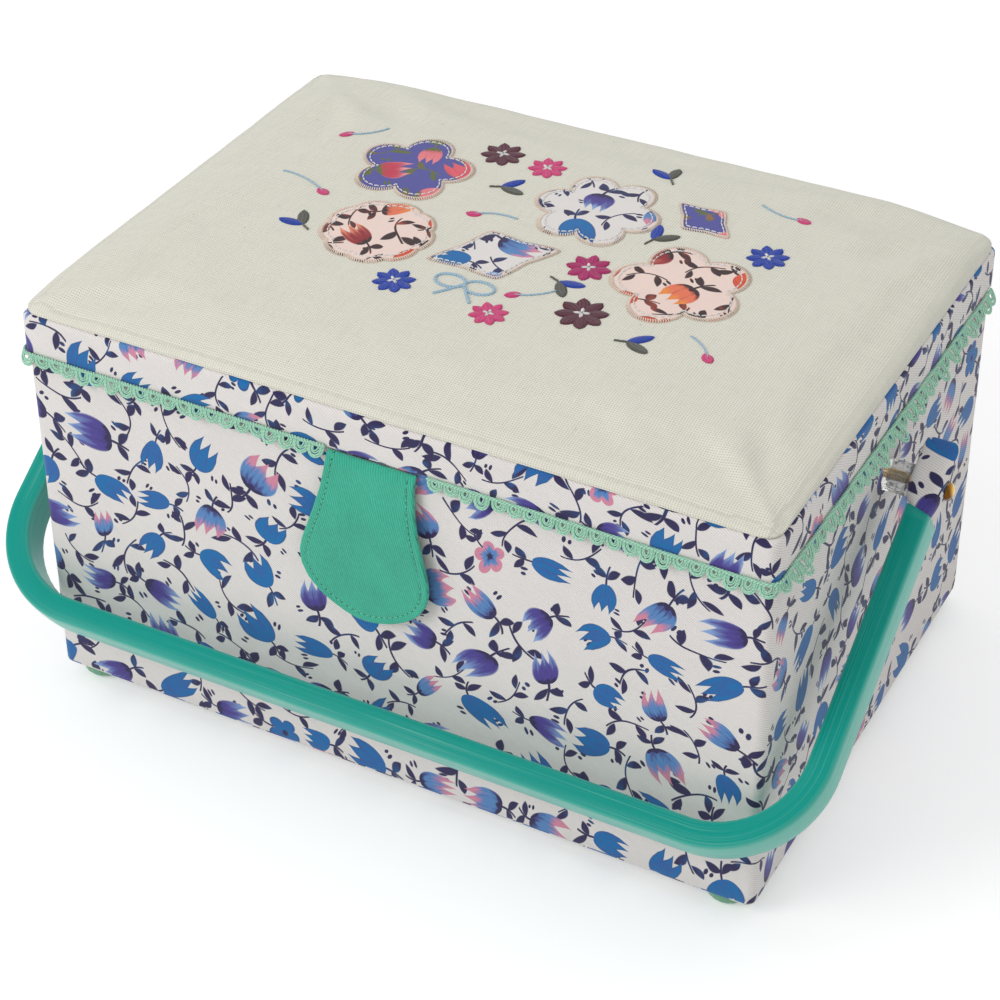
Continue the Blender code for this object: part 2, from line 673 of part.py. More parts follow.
def build_tray(axis, origin):
    """A moulded tray with one long and three short compartments and two finger notches."""
    top = TRAY_BOTTOM + TRAY_HEIGHT

    def place(x, y, z):
        return (x - origin[0], y - origin[1], z - origin[2])

    tray = around("tray", TRAY_WIDTH, TRAY_DEPTH, [
        (3.0 * MM, TRAY_BOTTOM), (1.6 * MM, TRAY_BOTTOM + 1.2 * MM), (1.0 * MM, TRAY_BOTTOM + 8 * MM),
        (0.5 * MM, top - 3 * MM), (0.5 * MM, top),
    ], "tray_plastic", axis, place(0, 0, 0), closed=False, radius=12 * MM)
    wall = TRAY_WALL + 1.0 * MM
    floor = TRAY_BOTTOM + TRAY_WALL
    inside_x = TRAY_WIDTH - 2 * wall
    inside_y = TRAY_DEPTH - 2 * wall
    front_depth = 76 * MM
    back_depth = inside_y - front_depth - TRAY_WALL
    tall = top - floor + 4 * MM
    z = floor + tall / 2
    front_y = -TRAY_DEPTH / 2 + wall + front_depth / 2
    back_y = TRAY_DEPTH / 2 - wall - back_depth / 2
    cells = [("front_space", inside_x, front_depth, 0.0, front_y)]
    cell = (inside_x - 2 * TRAY_WALL) / 3
    for k, name in enumerate(("back_left_space", "back_middle_space", "back_right_space")):
        cells.append((name, cell, back_depth, (k - 1) * (cell + TRAY_WALL), back_y))
    for name, wide, deep, x, y in cells:
        cut(tray, box_cutter(name, (wide, deep, tall), place(x, y, z), axis, radius=7 * MM))
    notch = cylinder_cutter("finger_notches", 13 * MM, TRAY_WIDTH + 20 * MM, place(0, 0, top + 2 * MM),
                            axis, axis="X", segments=24)
    cut(tray, notch)


def main():
    """Build the box, its lid, tab, handle and tray, each moving body on its own axis."""
    root = empty("box_middle", (0, BOX_Y, 0))
    base, cover = build_body(root)
    build_feet(root, base, cover)
    build_pivots(root)
    magnet("body_magnet", root,
           (TAB_X + magnet_x(), -BOX_DEPTH / 2 - GAP - BODY_MAGNET_THICK / 2, LID_BOTTOM - MAGNET_DROP),
           BODY_MAGNET_THICK)
    for side, sx in (("left", -1), ("right", 1)):
        x = sx * (BOX_WIDTH / 2 - LINING_IN - GAP - LEDGE_SIZE[0] / 2)
        box(f"tray_ledge_{side}", LEDGE_SIZE, (x, 0, LEDGE_TOP - LEDGE_SIZE[2] / 2), "lining_cloth", root)
    leaf = (HINGE_CLOTH_WIDTH, CLOTH, HINGE_CLOTH_LEAF)
    leaf_y = BOX_DEPTH / 2 + GAP + CLOTH / 2
    box("hinge_cloth_body", leaf, (0, leaf_y, BODY_TOP - HINGE_CLOTH_LEAF / 2), "printed_cotton", root)

    hinge = (0, BACK_FACE, BODY_TOP + LID_GAP / 2)
    lid_axis = empty("lid_axis", hinge, root)
    build_lid(lid_axis, hinge)
    build_trim(lid_axis, hinge)
    box("hinge_cloth_lid", leaf, (0, leaf_y - hinge[1], LID_BOTTOM + HINGE_CLOTH_LEAF / 2 - hinge[2]),
        "printed_cotton", lid_axis)

    tab = (TAB_X, -BOX_DEPTH / 2 - LID_PROUD, LID_BOTTOM)
    tab_axis = empty("tab_axis", (tab[0] - hinge[0], tab[1] - hinge[1], tab[2] - hinge[2]), lid_axis)
    build_tab(tab_axis)

    handle_axis = empty("handle_axis", (0, 0, PIVOT_HEIGHT), root, tilt=REST_TILT)
    build_handle(handle_axis)

    tray = (0, 0, TRAY_BOTTOM)
    tray_axis = empty("tray_axis", tray, root)
    build_tray(tray_axis, tray)


main()
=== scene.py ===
"""Fabric-covered sewing box: its cloths, padding, patches, stitches, braid, handle and lining."""
import math
import random
from contextlib import contextmanager

import bmesh
import bpy
import numpy as np
from bpy.props import FloatProperty, FloatVectorProperty, PointerProperty
from bpy.types import Operator, Panel, PropertyGroup
from mathutils import Matrix, Vector, noise
from mathutils.bvhtree import BVHTree


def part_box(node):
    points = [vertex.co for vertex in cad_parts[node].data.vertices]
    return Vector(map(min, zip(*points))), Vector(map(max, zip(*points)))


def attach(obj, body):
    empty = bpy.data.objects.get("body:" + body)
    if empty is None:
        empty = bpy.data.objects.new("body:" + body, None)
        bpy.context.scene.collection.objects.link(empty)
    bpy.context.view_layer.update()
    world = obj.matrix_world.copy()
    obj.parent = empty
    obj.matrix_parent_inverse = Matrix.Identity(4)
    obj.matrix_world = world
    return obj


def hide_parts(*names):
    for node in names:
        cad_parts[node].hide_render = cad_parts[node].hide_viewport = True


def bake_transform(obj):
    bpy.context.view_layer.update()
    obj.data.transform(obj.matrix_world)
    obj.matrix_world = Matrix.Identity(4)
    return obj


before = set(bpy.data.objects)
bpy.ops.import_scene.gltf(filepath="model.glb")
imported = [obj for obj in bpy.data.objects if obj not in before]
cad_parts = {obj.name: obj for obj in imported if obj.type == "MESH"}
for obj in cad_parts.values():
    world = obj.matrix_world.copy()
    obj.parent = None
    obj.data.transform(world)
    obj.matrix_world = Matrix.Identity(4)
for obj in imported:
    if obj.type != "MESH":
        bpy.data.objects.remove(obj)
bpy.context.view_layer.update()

bl_info = {
    "name": "Sewing Box",
    "version": (1, 0, 0),
    "blender": (4, 5, 0),
    "location": "3D View > Sidebar > Sewing Box",
    "description": "Dresses a sewing box in printed cotton, padding, stitches, braid and plastics",
    "category": "Add Mesh",
}

# Lengths are in metres
MM = 0.001
TINY = 1e-12
CLOTH_MAP = "cloth"

# The box, as the frame has it
BODY_LOW, BODY_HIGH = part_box("body_cover")
LID_LOW, LID_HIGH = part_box("lid_cover")
PAD_LOW, PAD_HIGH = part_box("canvas_cover")
PIN_LOW, PIN_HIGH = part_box("pivot_pin_right")
LID_MIDDLE = Vector((0.0, (LID_LOW.y + LID_HIGH.y) / 2, 0.0))
WALL_BOARDS = ("front_board", "back_board", "left_board", "right_board")
LID_BOARDS = ("lid_front_board", "lid_back_board", "lid_left_board", "lid_right_board")

# Cloth on board: its thickness, how it bends round corners and edges, and how far it turns in
CLOTH = 0.8 * MM
CORNER = 4.0 * MM
CORNER_STEPS = 6
LEAST_BEND = 0.3 * MM
TOP_BEND = 1.2 * MM
BASE_BEND = 1.6 * MM
RIM_BEND = 2.0 * MM
INNER = 5.2 * MM
TURN_IN = 14.0 * MM
SWELL_FADE = 8 * MM
LINING_CORNER = 1.2 * MM
LINING_EDGE = 30 * MM

# The cloth hinge: the heights where its rows change, with its rows lying closest between the middle two
HINGE_LEVELS = (162.5 * MM, 163.0 * MM, 165.6 * MM, 166.2 * MM)

# The pin cushion's side, from its back to its top: inset and height in millimetres
CUSHION_CORNER = 14 * MM
CUSHION_SIDE = (
    (3.0, 0.0), (0.6, -0.6), (0.2, -2.2), (1.6, -4.8), (6.0, -7.4), (13.0, -8.8), (24.0, -9.2),
)

# The pocket: its stitched edge, the pitch of its gathers and how much fuller its cloth is
POCKET_EDGE = 6 * MM
GATHER = 6.1 * MM
POCKET_FULLNESS = 1.25

# The handle, whose arms turn on the pins and rest at a slant
PIVOT = Vector((0.0, (PIN_LOW.y + PIN_HIGH.y) / 2, (PIN_LOW.z + PIN_HIGH.z) / 2))
REST_SLANT = math.radians(34.5)
ARM_REACH = 163 * MM
GRIP_HALF = 184 * MM
GRIP_BEND = 45 * MM
GRIP_THICK = 10.5 * MM
GRIP_BROAD = 17 * MM
GRIP_WALL = 1.1 * MM
GRIP_START = 13 * MM
STRAP_CLEAR = 1.4 * MM
STRAP_SIDES = 40
RIPPLE = 5.5 * MM
ARM_STEPS = 24
SECTION_BEND = 4
SECTION_FLAT = 5
# Each end of the strap in millimetres: distance beyond the pin, outer and inner face in from the
# handle's outline, half the breadth
STRAP_END = (
    (-14.0, 1.3, 9.2, 7.1), (-12.6, 1.1, 9.6, 7.2), (-10.0, 0.4, 11.2, 7.4), (-6.8, -0.4, 13.0, 7.4),
    (0.0, -0.6, 13.7, 7.1), (6.0, -0.5, 14.0, 5.6), (12.0, -0.2, 14.3, 3.5), (16.0, 0.1, 14.4, 2.1),
    (18.6, 0.7, 14.0, 1.1), (19.5, 1.8, 12.8, 0.45),
)

# The closure tab
TAB_TOP = Vector((-2 * MM, LID_LOW.y, LID_LOW.z))
TAB_LEAN = math.radians(3.5)
TAB_THICK = 2.2 * MM
TAB_LENGTH = 71.6 * MM
TAB_SEAM = 3.0 * MM
TAB_ROUND = 0.9 * MM
TAB_ROWS, TAB_COLS = 118, 84
# Share of the length, and half the breadth in millimetres
TAB_SHAPE = (
    (0.0, 19.0), (0.1, 19.4), (0.22, 20.4), (0.36, 22.6), (0.5, 25.6), (0.6, 27.6), (0.68, 28.4),
    (0.76, 27.6), (0.84, 24.6), (0.91, 19.2), (0.96, 13.0), (0.99, 6.4), (1.0, 2.4),
)
# The stitches, and dark threads that paint the shade in the needle holes between them: colour, half
# thickness in millimetres, and along one of them the share of the step and the height in millimetres
TAB_STITCHES = (
    ("tab_thread", 0.25, ((0.16, -0.3), (0.27, 0.02), (0.5, 0.12), (0.73, 0.02), (0.84, -0.3))),
    ("tab_hole_shade", 0.24, ((0.84, -0.2), (0.92, -0.1), (1.0, -0.06), (1.08, -0.1), (1.16, -0.2))),
)


def srgb(red, green, blue):
    """A colour seen on a screen, from 0 to 255, as linear light."""
    return tuple(
        (c / 255 / 12.92) if c < 10.3 else ((c / 255 + 0.055) / 1.055) ** 2.4
        for c in (red, green, blue)
    )


def colour_property(name, description, value):
    """A colour that a user can change."""
    return FloatVectorProperty(
        name=name, description=description, subtype="COLOR", size=3, min=0.0, max=1.0,
        default=srgb(*value))


def length_property(name, description, millimetres):
    """A length that a user can change."""
    return FloatProperty(
        name=name, description=description, subtype="DISTANCE", unit="LENGTH", min=0.0,
        precision=5, default=millimetres * MM)


class SewingBoxCloth(PropertyGroup):
    """Sizes and colours of the cloths."""

    print_repeat: length_property("Print repeat", "Distance from one flower to the next", 25.0)
    twill_pitch: length_property("Twill pitch", "Distance between the cotton's fine ribs", 0.95)
    canvas_pitch: length_property("Canvas pitch", "Distance between the canvas's threads", 1.05)
    puff_limit: length_property("Puff limit", "Furthest that the padding pushes the canvas out", 1.6)
    ground: colour_property("Ground", "Ground of the print", (228, 223, 220))
    blue: colour_property("Blue", "Flat blue petals", (20, 110, 174))
    violet: colour_property("Violet", "Hearts of the violet flowers", (78, 66, 146))
    sky: colour_property("Sky", "Pale edges of the violet flowers", (134, 166, 216))
    pink: colour_property("Pink", "Tips of the pink flowers", (212, 136, 160))
    stem: colour_property("Stem", "Stems and leaves", (48, 42, 84))
    canvas: colour_property("Canvas", "Cream canvas of the lid", (223, 221, 207))
    tab: colour_property("Tab", "Closure tab's green twill", (58, 174, 145))
    lining: colour_property("Lining", "Plain lining cloth", (98, 186, 160))


class SewingBoxBraid(PropertyGroup):
    """Sizes and colours of the braid and stitches."""

    loop_pitch: length_property("Loop pitch", "Distance from one loop of the braid to the next", 6.6)
    loop_drop: length_property("Loop drop", "Height of a loop", 5.0)
    thread: length_property("Thread", "Thickness of the braid's thread", 0.92)
    stitch_pitch: length_property("Stitch pitch", "Distance from one stitch of the tab to the next", 2.6)
    braid: colour_property("Braid", "Mint thread of the braid", (172, 226, 198))
    tab_thread: colour_property("Tab thread", "Thread of the tab's stitches", (92, 206, 168))


class SewingBoxPlastics(PropertyGroup):
    """Colours of the plastics and metals."""

    grip: colour_property("Grip", "Handle sleeve on its narrow faces", (0, 151, 137))
    # The broad faces' paler colour is a painted reflection of the white room
    grip_reflection: colour_property("Pale grip", "Handle sleeve on its broad faces", (104, 190, 174))
    # The streaks are painted highlights along the sleeve
    grip_highlight: colour_property("Grip streaks", "Streaks drawn along the sleeve", (150, 216, 196))
    foot: colour_property("Foot", "Feet", (96, 158, 124))
    tray: colour_property("Tray", "Lift-out tray", (226, 234, 230))
    brass: colour_property("Brass", "Pivot pins", (236, 192, 104))
    clear: colour_property("Clear", "Clear spacers", (246, 246, 242))


class SewingBoxStage(PropertyGroup):
    """Light and view."""

    lens: FloatProperty(name="Lens", description="Focal length for a 36 mm sensor", default=97.1,
                        min=1.0, unit="CAMERA")
    distance: length_property("Distance", "From the camera to the box", 1124.55)
    azimuth: FloatProperty(name="Azimuth", description="View direction round the box",
                           default=0.473715, subtype="ANGLE")
    elevation: FloatProperty(name="Elevation", description="View direction above the floor",
                             default=0.599378, subtype="ANGLE")
    roll: FloatProperty(name="Roll", description="Turn of the camera about its view",
                        default=0.0057967, subtype="ANGLE")
    key_light: FloatProperty(name="Key light", description="Power of the main lamp in watts",
                             default=9.4, min=0.0)
    room_light: FloatProperty(name="Room light", description="Strength of the light from all round",
                              default=0.66, min=0.0)
    floor_lift: FloatProperty(name="Floor lift", description="How far the floor is lifted to white",
                              default=0.34, min=0.0)


# Shader nodes


class Value:
    """A number or vector on its way through shader nodes, which sums and products add to."""

    def __init__(self, net, socket):
        self.net, self.socket = net, socket

    def __add__(self, other):
        return self.net.math("ADD", self, other)

    def __sub__(self, other):
        return self.net.math("SUBTRACT", self, other)

    def __rsub__(self, other):
        return self.net.math("SUBTRACT", other, self)

    def __mul__(self, other):
        return self.net.math("MULTIPLY", self, other)

    def __rtruediv__(self, other):
        return self.net.math("DIVIDE", other, self)

    def __truediv__(self, other):
        return self.net.math("DIVIDE", self, other)

    def __pow__(self, other):
        return self.net.math("POWER", self, other)

    def __abs__(self):
        return self.net.math("ABSOLUTE", self)

    def __gt__(self, other):
        return self.net.math("GREATER_THAN", self, other)

    def __lt__(self, other):
        return self.net.math("LESS_THAN", self, other)

    def __or__(self, other):
        return self.net.math("MAXIMUM", self, other)

    def scaled(self, factor, added):
        """The value times a factor, with something added."""
        return self.net.math("MULTIPLY_ADD", self, factor, added)

    def ramp(self, low, high, start=0.0, end=1.0, kind="SMOOTHSTEP"):
        """From start to end while the value goes from low to high."""
        made = self.net.node("ShaderNodeMapRange", interpolation_type=kind)
        for socket, number in zip(made.inputs, (self, low, high, start, end)):
            self.net.join(number, socket)
        return Value(self.net, made.outputs[0])

    def wave(self):
        """Humps from 0 to 1, one for each unit."""
        return abs(self.net.math("SINE", self * math.pi))


class Net:
    """Short ways to add and join shader nodes in one tree."""

    def __init__(self, tree):
        self.tree = tree

    def node(self, kind, **settings):
        made = self.tree.nodes.new(kind)
        for key, value in settings.items():
            setattr(made, key, value)
        return made

    def join(self, value, socket):
        """Put a value, or a plain number or colour, on a socket."""
        if isinstance(value, Value):
            self.tree.links.new(value.socket, socket)
        elif socket.type == "RGBA" and len(value) == 3:
            socket.default_value = (*value, 1.0)
        else:
            socket.default_value = value

    def out(self, kind, inputs, output=0, **settings):
        """One output of a new node, with values on its first inputs or on those of the given names."""
        made = self.node(kind, **settings)
        pairs = inputs.items() if isinstance(inputs, dict) else enumerate(inputs)
        for key, value in pairs:
            self.join(value, made.inputs[key])
        return Value(self, made.outputs[output])

    def math(self, operation, *values):
        return self.out("ShaderNodeMath", values, operation=operation)

    def vector(self, operation, *values):
        return self.out("ShaderNodeVectorMath", values, operation=operation)

    def scale(self, vector, factor):
        return self.out("ShaderNodeVectorMath", {0: vector, "Scale": factor}, operation="SCALE")

    def parts(self, value):
        made = self.node("ShaderNodeSeparateXYZ")
        self.join(value, made.inputs[0])
        return [Value(self, socket) for socket in made.outputs]

    def point(self, *coordinates):
        return self.out("ShaderNodeCombineXYZ", coordinates)

    def reach(self, x, y):
        return self.out("ShaderNodeVectorMath", [self.point(x, y)], "Value", operation="LENGTH")

    def mix(self, share, a, b):
        return self.out("ShaderNodeMix", {0: share, 6: a, 7: b}, 2, data_type="RGBA")

    def noise(self, place, scale, detail=2.0, output="Fac"):
        return self.out("ShaderNodeTexNoise", {"Vector": place, "Scale": scale, "Detail": detail}, output)

    def group(self, name, **values):
        """The outputs of a shared group by name."""
        made = self.node("ShaderNodeGroup", node_tree=shared_group(name))
        for key, value in values.items():
            self.join(value, made.inputs[key])
        return {socket.name: Value(self, socket) for socket in made.outputs}


def new_group(name, inputs, outputs):
    """A node group with named sockets, its net, its inputs by name and its output node."""
    tree = bpy.data.node_groups.new(name, "ShaderNodeTree")
    for label, kind, value in inputs:
        socket = tree.interface.new_socket(label, in_out="INPUT", socket_type=kind)
        if value is not None:
            socket.default_value = value
    for label, kind in outputs:
        tree.interface.new_socket(label, in_out="OUTPUT", socket_type=kind)
    net = Net(tree)
    given = {socket.name: Value(net, socket) for socket in net.node("NodeGroupInput").outputs}
    return tree, net, given, net.node("NodeGroupOutput").inputs


NUMBER, COLOUR, VECTOR = "NodeSocketFloat", "NodeSocketColor", "NodeSocketVector"
RELIEF = [("Height", NUMBER), ("Shade", NUMBER)]
GROUPS = {}


def shared_group(name):
    """The group of that name, built the first time it is asked for."""
    if name not in GROUPS:
        GROUPS[name] = {
            "Plain weave": plain_weave, "Twill weave": twill_weave, "Twisted thread": twisted_thread,
            "Small flowers": small_flowers, "Uneven dye": uneven_dye,
        }[name](name)
    return GROUPS[name]


def plain_weave(name):
    """Threads that pass over and under each other."""
    tree, net, given, result = new_group(
        name, [("Place", VECTOR, None), ("Pitch", NUMBER, 0.0008), ("Slub", NUMBER, 0.2)], RELIEF)
    drift = net.vector("SUBTRACT", net.noise(given["Place"], 90.0, 2.0, "Color"), (0.5, 0.5, 0.5))
    place = net.scale(given["Place"], 1.0 / given["Pitch"])
    x, y, _ = net.parts(net.vector("ADD", place, net.scale(drift, given["Slub"] * 4.0)))
    across = net.math("SINE", x * math.pi)
    along = net.math("SINE", y * math.pi)
    over = across * along
    height = (abs(across) * over.scaled(0.34, 0.66)) | (abs(along) * over.scaled(-0.34, 0.66))
    # Thick and thin stretches of thread, across and along
    thick_x = net.noise(net.point(net.math("FLOOR", x), y * 0.06), 1.0, 1.0)
    thick_y = net.noise(net.point(x * 0.06, net.math("FLOOR", y)), 1.0, 1.0)
    net.join(height, result["Height"])
    net.join(height.ramp(0.1, 0.75).scaled(0.75, (thick_x + thick_y) * 0.25), result["Shade"])
    return tree


def twill_weave(name):
    """Fine ribs that lie at a slant, each broken into floats."""
    tree, net, given, result = new_group(
        name, [("Place", VECTOR, None), ("Pitch", NUMBER, 0.001), ("Across", NUMBER, 0.2),
               ("Up", NUMBER, 1.0), ("Slub", NUMBER, 0.2)], RELIEF)
    drift = (net.noise(given["Place"], 120.0) - 0.5) * (given["Slub"] * 5.0)
    x, y, _ = net.parts(net.scale(given["Place"], 1.0 / given["Pitch"]))
    rib = x * given["Across"] + y * given["Up"] + drift
    cross = x * given["Up"] - y * given["Across"]
    floats = cross.scaled(1.4, rib * 0.5).wave()
    height = rib.wave() ** 0.7 * floats.scaled(0.35, 0.65)
    net.join(height, result["Height"])
    tone = net.noise(net.point(net.math("FLOOR", rib), cross * 0.1), 1.0, 1.0)
    net.join(height.ramp(0.0, 0.8).scaled(0.75, tone * 0.25), result["Shade"])
    return tree


def twisted_thread(name):
    """Strands that wind round a thread, from its length and its turn."""
    tree, net, given, result = new_group(name, [("Place", VECTOR, None), ("Lay", NUMBER, 0.0014)], RELIEF)
    u, v, _ = net.parts(given["Place"])
    strand = (u / given["Lay"] + v * 2.0).wave()
    fuzz = net.noise(net.point(u * 900.0, v * 9.0), 1.0)
    net.join(strand, result["Height"])
    net.join(strand.scaled(0.6, fuzz * 0.4), result["Shade"])
    return tree


def uneven_dye(name):
    """A colour with soft blotches and fine grain, so that no cloth or plastic is one flat tone."""
    tree, net, given, result = new_group(
        name, [("Color", COLOUR, None), ("Place", VECTOR, None), ("Scale", NUMBER, 40.0),
               ("Amount", NUMBER, 0.1)], [("Color", COLOUR)])
    place = net.scale(given["Place"], given["Scale"])
    level = net.noise(place, 14.0, 1.0).scaled(0.4, net.noise(place, 1.0, 3.0) * 0.6)
    level = ((level - 0.5) * given["Amount"]).scaled(2.0, 1.0)
    net.join(net.scale(given["Color"], level), result["Color"])
    return tree


def leaf_mask(x, y, start, turn, long, broad):
    """A pointed leaf that grows from a start point at an angle."""
    c, s = math.cos(turn), math.sin(turn)
    dx, dy = x - start[0], y - start[1]
    p = dx.scaled(c / long, dy * (s / long))
    q = dx.scaled(-s, dy * c)
    belly = p * (1.0 - p) * 4.0
    return (abs(belly.scaled(-0.35 * broad, q)) - belly * broad).ramp(0.018, -0.018)


def lattice(net, place, shift, least, spread):
    """A point's place in its own turned and scaled cell, with two random numbers of the cell."""
    moved = net.vector("ADD", place, (*shift, 0.0))
    cell = net.vector("FLOOR", moved)
    seed = net.vector("ADD", cell, (0.13, 0.37, 7.1 * shift[0] + 0.5))
    chance = net.out("ShaderNodeTexWhiteNoise", {"Vector": seed}, "Color", noise_dimensions="3D")
    first, second, third = net.parts(chance)
    x, y, _ = net.parts(net.vector("SUBTRACT", net.vector("SUBTRACT", moved, cell), (0.5, 0.5, 0.0)))
    turn = first * (2 * math.pi)
    c, s = net.math("COSINE", turn), net.math("SINE", turn)
    size = 2.0 / second.scaled(spread, least)
    return (x * c + y * s) * size, (y * c - x * s) * size, second, third


def either(share, first, second):
    """The first number where the share is 0 and the second where it is 1."""
    return first * (1.0 - share) + second * share


# Where the leaves stand on a flower's stem and on a sprig: start, turn, length and half breadth
STEM_LEAVES = (((-0.5, 0.04), 2.05, 0.56, 0.12), ((-0.56, 0.05), -2.3, 0.5, 0.13))
SPRIG_LEAVES = (
    ((0.36, 0.0), 0.75, 0.56, 0.12), ((0.06, -0.08), -0.85, 0.62, 0.13), ((-0.3, -0.06), 1.75, 0.56, 0.12),
)


def small_flowers(name):
    """A scattered print of nodding bells and open flowers, leafy sprigs and small marks."""
    tree, net, given, result = new_group(
        name, [("Place", VECTOR, None), ("Repeat", NUMBER, 0.024), ("Ground", COLOUR, None),
               ("Blue", COLOUR, None), ("Violet", COLOUR, None), ("Sky", COLOUR, None),
               ("Pink", COLOUR, None), ("Stem", COLOUR, None)], [("Color", COLOUR)])
    ground, stem_ink, sky = given["Ground"], given["Stem"], given["Sky"]
    place = net.scale(given["Place"], 1.0 / given["Repeat"])
    drift = net.vector("SUBTRACT", net.noise(place, 0.55, 1.0, "Color"), (0.5, 0.5, 0.5))
    place = net.vector("ADD", place, net.scale(drift, 0.8))
    place = net.vector("MULTIPLY", place, (1.0, 1.0, 0.0))

    # Bells: along the flower from its cup to its tips, and across it
    x, y, size, kind = lattice(net, place, (0.0, 0.0), 0.98, 0.16)
    p = (x + 0.34) * 0.82
    q = y - p * p * ((kind - 0.5) * 0.5)
    low = net.math("MINIMUM", p - 0.5, 0.0)
    dome = net.math("SQRT", (low * low).scaled(-3.8, 1.0) | 0.0004)
    dome = dome * ((p - 0.5) | 0.0).scaled(-0.3, 1.0)
    r = abs(q) / (dome * size.scaled(0.12, 0.4))
    notch = net.math("PINGPONG", r, 0.36) * (1 / 0.36)
    tips = (notch ** 0.8).scaled(-0.36, 1.0)
    bell = (tips - p).ramp(-0.02, 0.03) * r.ramp(1.04, 0.95) * (p > 0.0)
    bell_rim = (tips - p).ramp(0.1, 0.0) | r.ramp(0.86, 1.0)

    # Open flowers, seen from the front
    fx = x - 0.22
    far = net.reach(fx, y)
    angle = net.math("ARCTAN2", y, fx)
    petals = abs(net.math("COSINE", angle * 2.5)) ** 0.6
    share = far / petals.scaled(0.26, 0.36)
    is_open = kind > 0.92
    flower = either(is_open, bell, share.ramp(1.03, 0.97))
    rim = either(is_open, bell_rim, share.ramp(0.82, 1.0))
    along = either(is_open, p, share)
    aside = either(is_open, r, angle)

    # Watercolour: one flat blue, one that pales from violet to sky, one whose tips are washed pink
    brush = net.noise(net.point(aside * 3.0, along * 1.5, kind * 40.0), 1.3, 3.0)
    wash = along + (brush - 0.5) * 0.9
    heart = net.mix(0.5, given["Violet"], stem_ink)
    violet = net.mix(wash.ramp(0.05, 0.4), heart, given["Violet"])
    violet = net.mix(wash.ramp(0.4, 0.95), violet, sky)
    pink = net.mix(wash.ramp(0.0, 0.35), heart, net.mix(0.4, given["Blue"], sky))
    pink = net.mix(wash.ramp(0.45, 0.75), pink, given["Pink"])
    blue = net.mix(0.3, given["Blue"], given["Violet"])
    blue = net.mix(brush.ramp(0.35, 0.6), blue, given["Blue"])
    blue = net.mix(rim * 0.55, blue, stem_ink)
    violet = net.mix(rim * 0.35, violet, net.mix(0.45, sky, ground))
    pick = net.math("FRACT", kind * 7.31)
    colour = net.mix(pick > 0.44, blue, violet)
    colour = net.mix(pick > 0.76, colour, pink)
    # The middle petal of a bell lies over its neighbours, and an open flower has a dark eye
    is_bell = 1.0 - is_open
    fold = r.ramp(0.3, 0.36) * r.ramp(0.44, 0.38) * is_bell * p.ramp(0.25, 0.5)
    colour = net.mix(fold * 0.4, colour, given["Violet"])
    eye = far.ramp(0.13, 0.09) * is_open
    cup = (p + notch * 0.08).ramp(0.2, 0.16) * is_bell
    colour = net.mix(eye | (cup * (pick > 0.44)), colour, stem_ink)

    # The flower's hooked stem and its leaves
    back = x + 0.34
    line = abs(y - back * back * 0.6).ramp(0.046, 0.026)
    ink = line * (x < -0.2) * (x > -0.9)
    for leaf in STEM_LEAVES:
        ink = ink | leaf_mask(x, y, *leaf)

    # Leafy sprigs between the flowers
    x2, y2, _, kind2 = lattice(net, place, (0.5, 0.5), 0.98, 0.14)
    rise = y2 - (x2 * x2).scaled(0.4, -0.1)
    sprig = abs(rise).ramp(0.04, 0.022) * (abs(x2) < 0.66)
    for leaf in SPRIG_LEAVES:
        sprig = sprig | leaf_mask(x2, y2, *leaf)
    sprig = sprig * (kind2 < 0.8)

    # Pairs of short marks in some of the gaps
    x3, y3, _, kind3 = lattice(net, net.scale(place, 2.0), (0.0, 0.0), 0.9, 0.2)
    for side, long in ((0.17, 4.2), (-0.17, 5.6)):
        mark = net.reach((x3 + side) * 9.0, y3 * long)
        ink = ink | (mark.ramp(1.15, 0.85) * (kind3 < 0.5))

    worn = net.noise(place, 3.0)
    stem = net.mix(worn.ramp(0.5, 0.8, 0.0, 0.55), stem_ink, given["Blue"])
    net.join(net.mix(flower, net.mix(ink | sprig, ground, stem), colour), result["Color"])
    return tree


# Materials


def new_material(name):
    """A material with its net and its Principled shader."""
    made = bpy.data.materials.new(name)
    made.use_nodes = True
    return made, Net(made.node_tree), made.node_tree.nodes["Principled BSDF"]


def set_shader(shader, **values):
    """Plain numbers and colours on the shader's own sockets."""
    for key, value in values.items():
        socket = shader.inputs[key.replace("_", " ")]
        socket.default_value = (*value, 1.0) if socket.type == "RGBA" and len(value) == 3 else value


def bump(net, shader, height, distance, strength):
    """Fine relief from a height."""
    relief = {"Strength": strength, "Distance": distance, "Height": height}
    net.join(net.out("ShaderNodeBump", relief), shader.inputs["Normal"])


def cloth_place(net):
    """The point's place on the flat cloth, in metres."""
    return net.out("ShaderNodeUVMap", (), uv_map=CLOTH_MAP)


def own_place(net):
    """The point's place in the piece."""
    return net.out("ShaderNodeTexCoord", (), "Object")


def dyed(net, colour, place, scale, amount):
    """The colour with its unevenness."""
    return net.group("Uneven dye", Color=colour, Place=place, Scale=scale, Amount=amount)["Color"]


def cloth_material(name, weave, look, relief, shades, dye, sheen=0.25, flecks=None):
    """A woven cloth: a print, given by its colours, or one colour."""
    made, net, shader = new_material(name)
    place = cloth_place(net)
    kind, shape = weave
    woven = net.group(kind, Place=place, **shape)
    base = net.group("Small flowers", Place=place, **look)["Color"] if isinstance(look, dict) else look
    base = dyed(net, base, place, 45.0, dye)
    if flecks:
        base = net.mix(net.noise(place, 300.0, 1.0).ramp(0.76, 0.82, 0.0, 0.5), base, flecks)
    shade = woven["Shade"].ramp(0.0, 1.0, *shades, "LINEAR")
    net.join(net.scale(base, shade), shader.inputs["Base Color"])
    set_shader(shader, Roughness=0.85, Sheen_Weight=sheen, Sheen_Roughness=0.5, Specular_IOR_Level=0.2)
    bump(net, shader, woven["Height"], relief * MM, 0.6)
    return made


